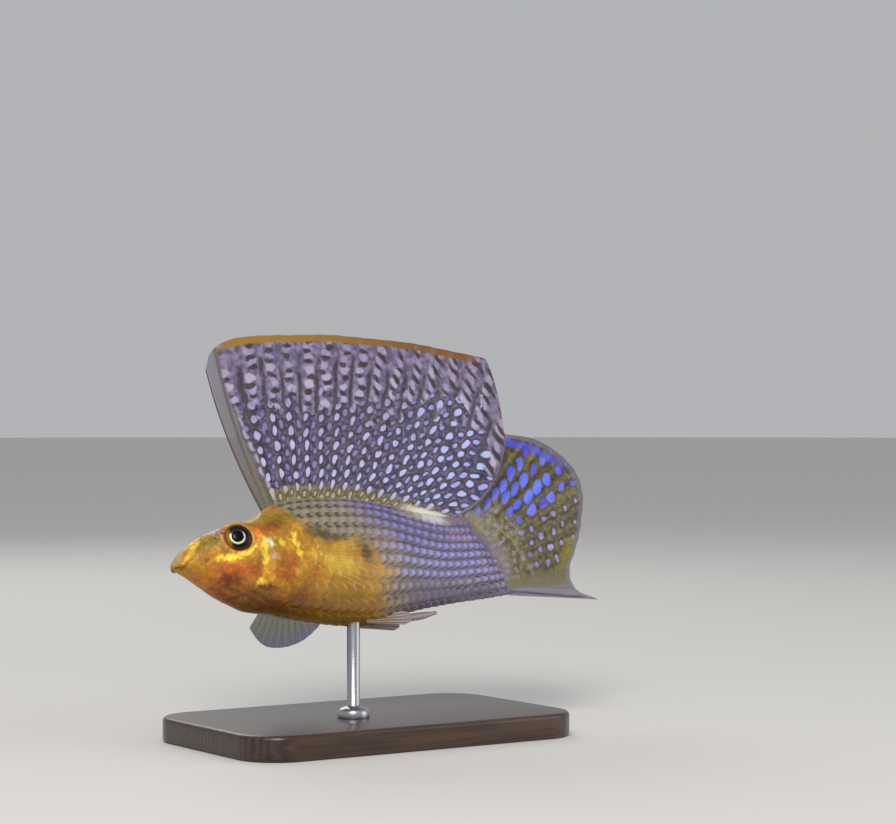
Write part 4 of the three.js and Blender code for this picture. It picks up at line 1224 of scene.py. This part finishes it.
def makeEye(side, name, cadNode, material):
    normal = eyeNormal(side)
    right = np.cross(normal, (0, 0, 1))
    right /= np.linalg.norm(right)
    up = np.cross(right, normal)
    centre = np.array([eye["x"], side * eyeY, eye["z"]])

    def disc(u, v):
        radius = eye["radius"] * u
        angle = v * 2 * math.pi
        return radius, radius * np.cos(angle), radius * np.sin(angle)

    def ringOf(u, v):
        radius, a, b = disc(u, v)
        shifted = np.hypot(a + right[0] * eyeShape["pupilForward"], b - eyeShape["pupilUp"])
        inner = 1 - ramp(1.7, 2.6, radius)
        return shifted * inner + radius * (1 - inner)

    def put(u, v):
        radius, a, b = disc(u, v)
        ring = ringOf(u, v)
        height = eyeShape["dome"] * (1 - (radius / eye["radius"]) ** 2) ** 0.62
        height = height + 0.06 * (1 - ramp(0.9, 1.25, ring)) - 0.05 * bell(ring - 1.26, 0.09)
        height = height + 0.03 * bell(ring - 1.5, 0.2) - 0.04 * bell(ring - 1.86, 0.14)
        return centre + a[:, None] * right + b[:, None] * up + height[:, None] * normal

    def marks(u, v):
        _, a, b = disc(u, v)
        return {"irisPlace": np.stack((ringOf(u, v), -right[0] * a, b), -1)}

    mesh = meshFromGrid(name, eyeShape["rings"], eyeShape["around"], put, marks)
    bm = reopened(mesh)
    rim = [e for e in bm.edges if e.is_boundary]
    made = bmesh.ops.extrude_edge_only(bm, edges=rim)["geom"]
    inward = Vector(toRow(centre - normal * eyeShape["rimDepth"]) - toRow(centre))
    bmesh.ops.translate(bm, verts=[g for g in made if isinstance(g, bmesh.types.BMVert)], vec=inward)
    bmesh.ops.holes_fill(bm, edges=[e for e in bm.edges if e.is_boundary], sides=0)
    bmesh.ops.recalc_face_normals(bm, faces=bm.faces[:])
    stored(bm, mesh)
    return asPiece(name, mesh, material, (cadNode,))


# Stand
stand = {
    "height": 5.0, "corner": 9.0, "round": 0.9, "rodRadius": 1.3, "collarRadius": 3.2, "collarHeight": 2.2,
    "intoBelly": 1.0, "rodEdge": 0.12,
}


def bevelled(bm, edges, offset, segments):
    bmesh.ops.bevel(bm, geom=edges, offset=offset * mm, offset_type="OFFSET", segments=segments, profile=0.5,
                    affect="EDGES", material=-1)


def makeStand():
    low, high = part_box("stand_base")
    bm = bmesh.new()
    bmesh.ops.create_cube(bm, size=1)
    size = Vector(high) - Vector(low)
    bmesh.ops.scale(bm, vec=size, verts=bm.verts[:])
    bmesh.ops.translate(bm, vec=(Vector(low) + Vector(high)) / 2, verts=bm.verts[:])
    upright = [e for e in bm.edges if abs(e.verts[0].co.z - e.verts[1].co.z) > size.z / 2]
    bevelled(bm, upright, stand["corner"], 16)
    bevelled(bm, [e for e in bm.edges if abs(e.verts[0].co.z - e.verts[1].co.z) < 1e-7], stand["round"], 5)
    asPiece("standBase", asMesh(bm, "standBase"), woodMaterial(), ("stand_base",))
    rodLow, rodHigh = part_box("stand_rod")
    centre = ((rodLow[0] + rodHigh[0]) / 2, (rodLow[1] + rodHigh[1]) / 2)
    r, c = stand["rodRadius"], stand["collarRadius"]
    foot, rise, top = stand["height"], stand["collarHeight"], rodHigh[2] / mm + stand["intoBelly"]
    collar = ((c, 0), (c, rise * 0.55), (c - 0.3, rise * 0.75), (c - 0.8, rise * 0.92), (r + 0.4, rise),
              (r, rise + 0.35))
    profile = [(0, foot), *[(x, foot + z) for x, z in collar], (r, top), (0, top)]
    bm = bmesh.new()
    spots = [bm.verts.new((x * mm + centre[0], centre[1], z * mm)) for x, z in profile]
    edges = [bm.edges.new(pair) for pair in zip(spots, spots[1:])]
    bmesh.ops.spin(bm, geom=spots + edges, cent=(*centre, 0), axis=(0, 0, 1), angle=2 * math.pi, steps=64,
                   use_merge=True)
    bmesh.ops.remove_doubles(bm, verts=bm.verts[:], dist=1e-6)
    sharp = [e for e in bm.edges if len(e.link_faces) == 2 and e.calc_face_angle(0) > 0.9]
    bevelled(bm, sharp, stand["rodEdge"], 3)
    bmesh.ops.recalc_face_normals(bm, faces=bm.faces[:])
    asPiece("standRod", asMesh(bm, "standRod"), steelMaterial(), ("stand_rod",))


# Camera, floor and light
photo = {"width": 896, "perPixel": 0.2, "distance": 500.0, "yaw": math.radians(34), "sensor": 36.0,
         "focus": (2.88, -12.74, 65.74)}


stage = {
    "floorRadius": 6, "floor": "#d9d7d3", "floorRoughness": 0.85, "world": "#e4e5e8", "worldStrength": 0.58,
    "target": (0, 0, 0.05),
    "lights": (  # name, place, size, power, colour
        ("key", (-0.35, -0.45, 0.55), 0.35, 3.4, (1.0, 0.97, 0.92)),
        ("fill", (0.55, -0.4, 0.25), 0.5, 0.9, (0.93, 0.95, 1.0)),
        ("back", (0.1, 0.55, 0.45), 0.4, 0.9, (1.0, 1.0, 1.0)),
    ),
}


def makeCamera():
    look = Vector((math.sin(photo["yaw"]), math.cos(photo["yaw"]), 0))
    data = bpy.data.cameras.new("camera")
    data.sensor_width = photo["sensor"]
    data.lens = photo["sensor"] * photo["distance"] / (photo["width"] * photo["perPixel"])
    data.clip_start = 0.01
    camera = inScene("camera", data)
    camera.location = (Vector(photo["focus"]) - look * photo["distance"]) * mm
    camera.rotation_euler = look.to_track_quat("-Z", "Y").to_euler()
    bpy.context.scene.camera = camera


def areaLight(name, place, size, power, colour):
    data = bpy.data.lights.new(name, "AREA")
    data.shape = "DISK"
    data.size = size
    data.energy = power
    data.color = colour
    light = inScene(name, data)
    light.location = place
    light.rotation_euler = (Vector(stage["target"]) - Vector(place)).to_track_quat("-Z", "Y").to_euler()


def makeStage():
    bm = bmesh.new()
    bmesh.ops.create_circle(bm, cap_ends=True, segments=96, radius=stage["floorRadius"])
    floor = inScene("floor", asMesh(bm, "floor"))
    material, shader = newMaterial("paleFloor")
    fill(shader, {"Base Color": stage["floor"], "Roughness": stage["floorRoughness"]})
    floor.data.materials.append(material)
    world = bpy.data.worlds.new("studio")
    world.use_nodes = True
    sky = world.node_tree.nodes["Background"].inputs
    fill(sky, {"Color": stage["world"], "Strength": stage["worldStrength"]})
    bpy.context.scene.world = world
    for light in stage["lights"]:
        areaLight(*light)


bpy.context.scene.view_settings.view_transform = "Standard"
makeCamera()
makeStage()
print("camera, floor and lights are ready")
fillRoundTable()
makeSkin()
print("skin is ready")
makeScales()
print("scales are ready")
pelvicMaterial = makeFins()
makeGonopodium(pelvicMaterial)
print("fins are ready")
wetEye = eyeMaterial()
makeEye(-1, "eyeLeft", "eye_left", wetEye)
makeEye(1, "eyeRight", "eye_right", wetEye)
print("eyes are ready")
makeStand()
print("stand is ready")
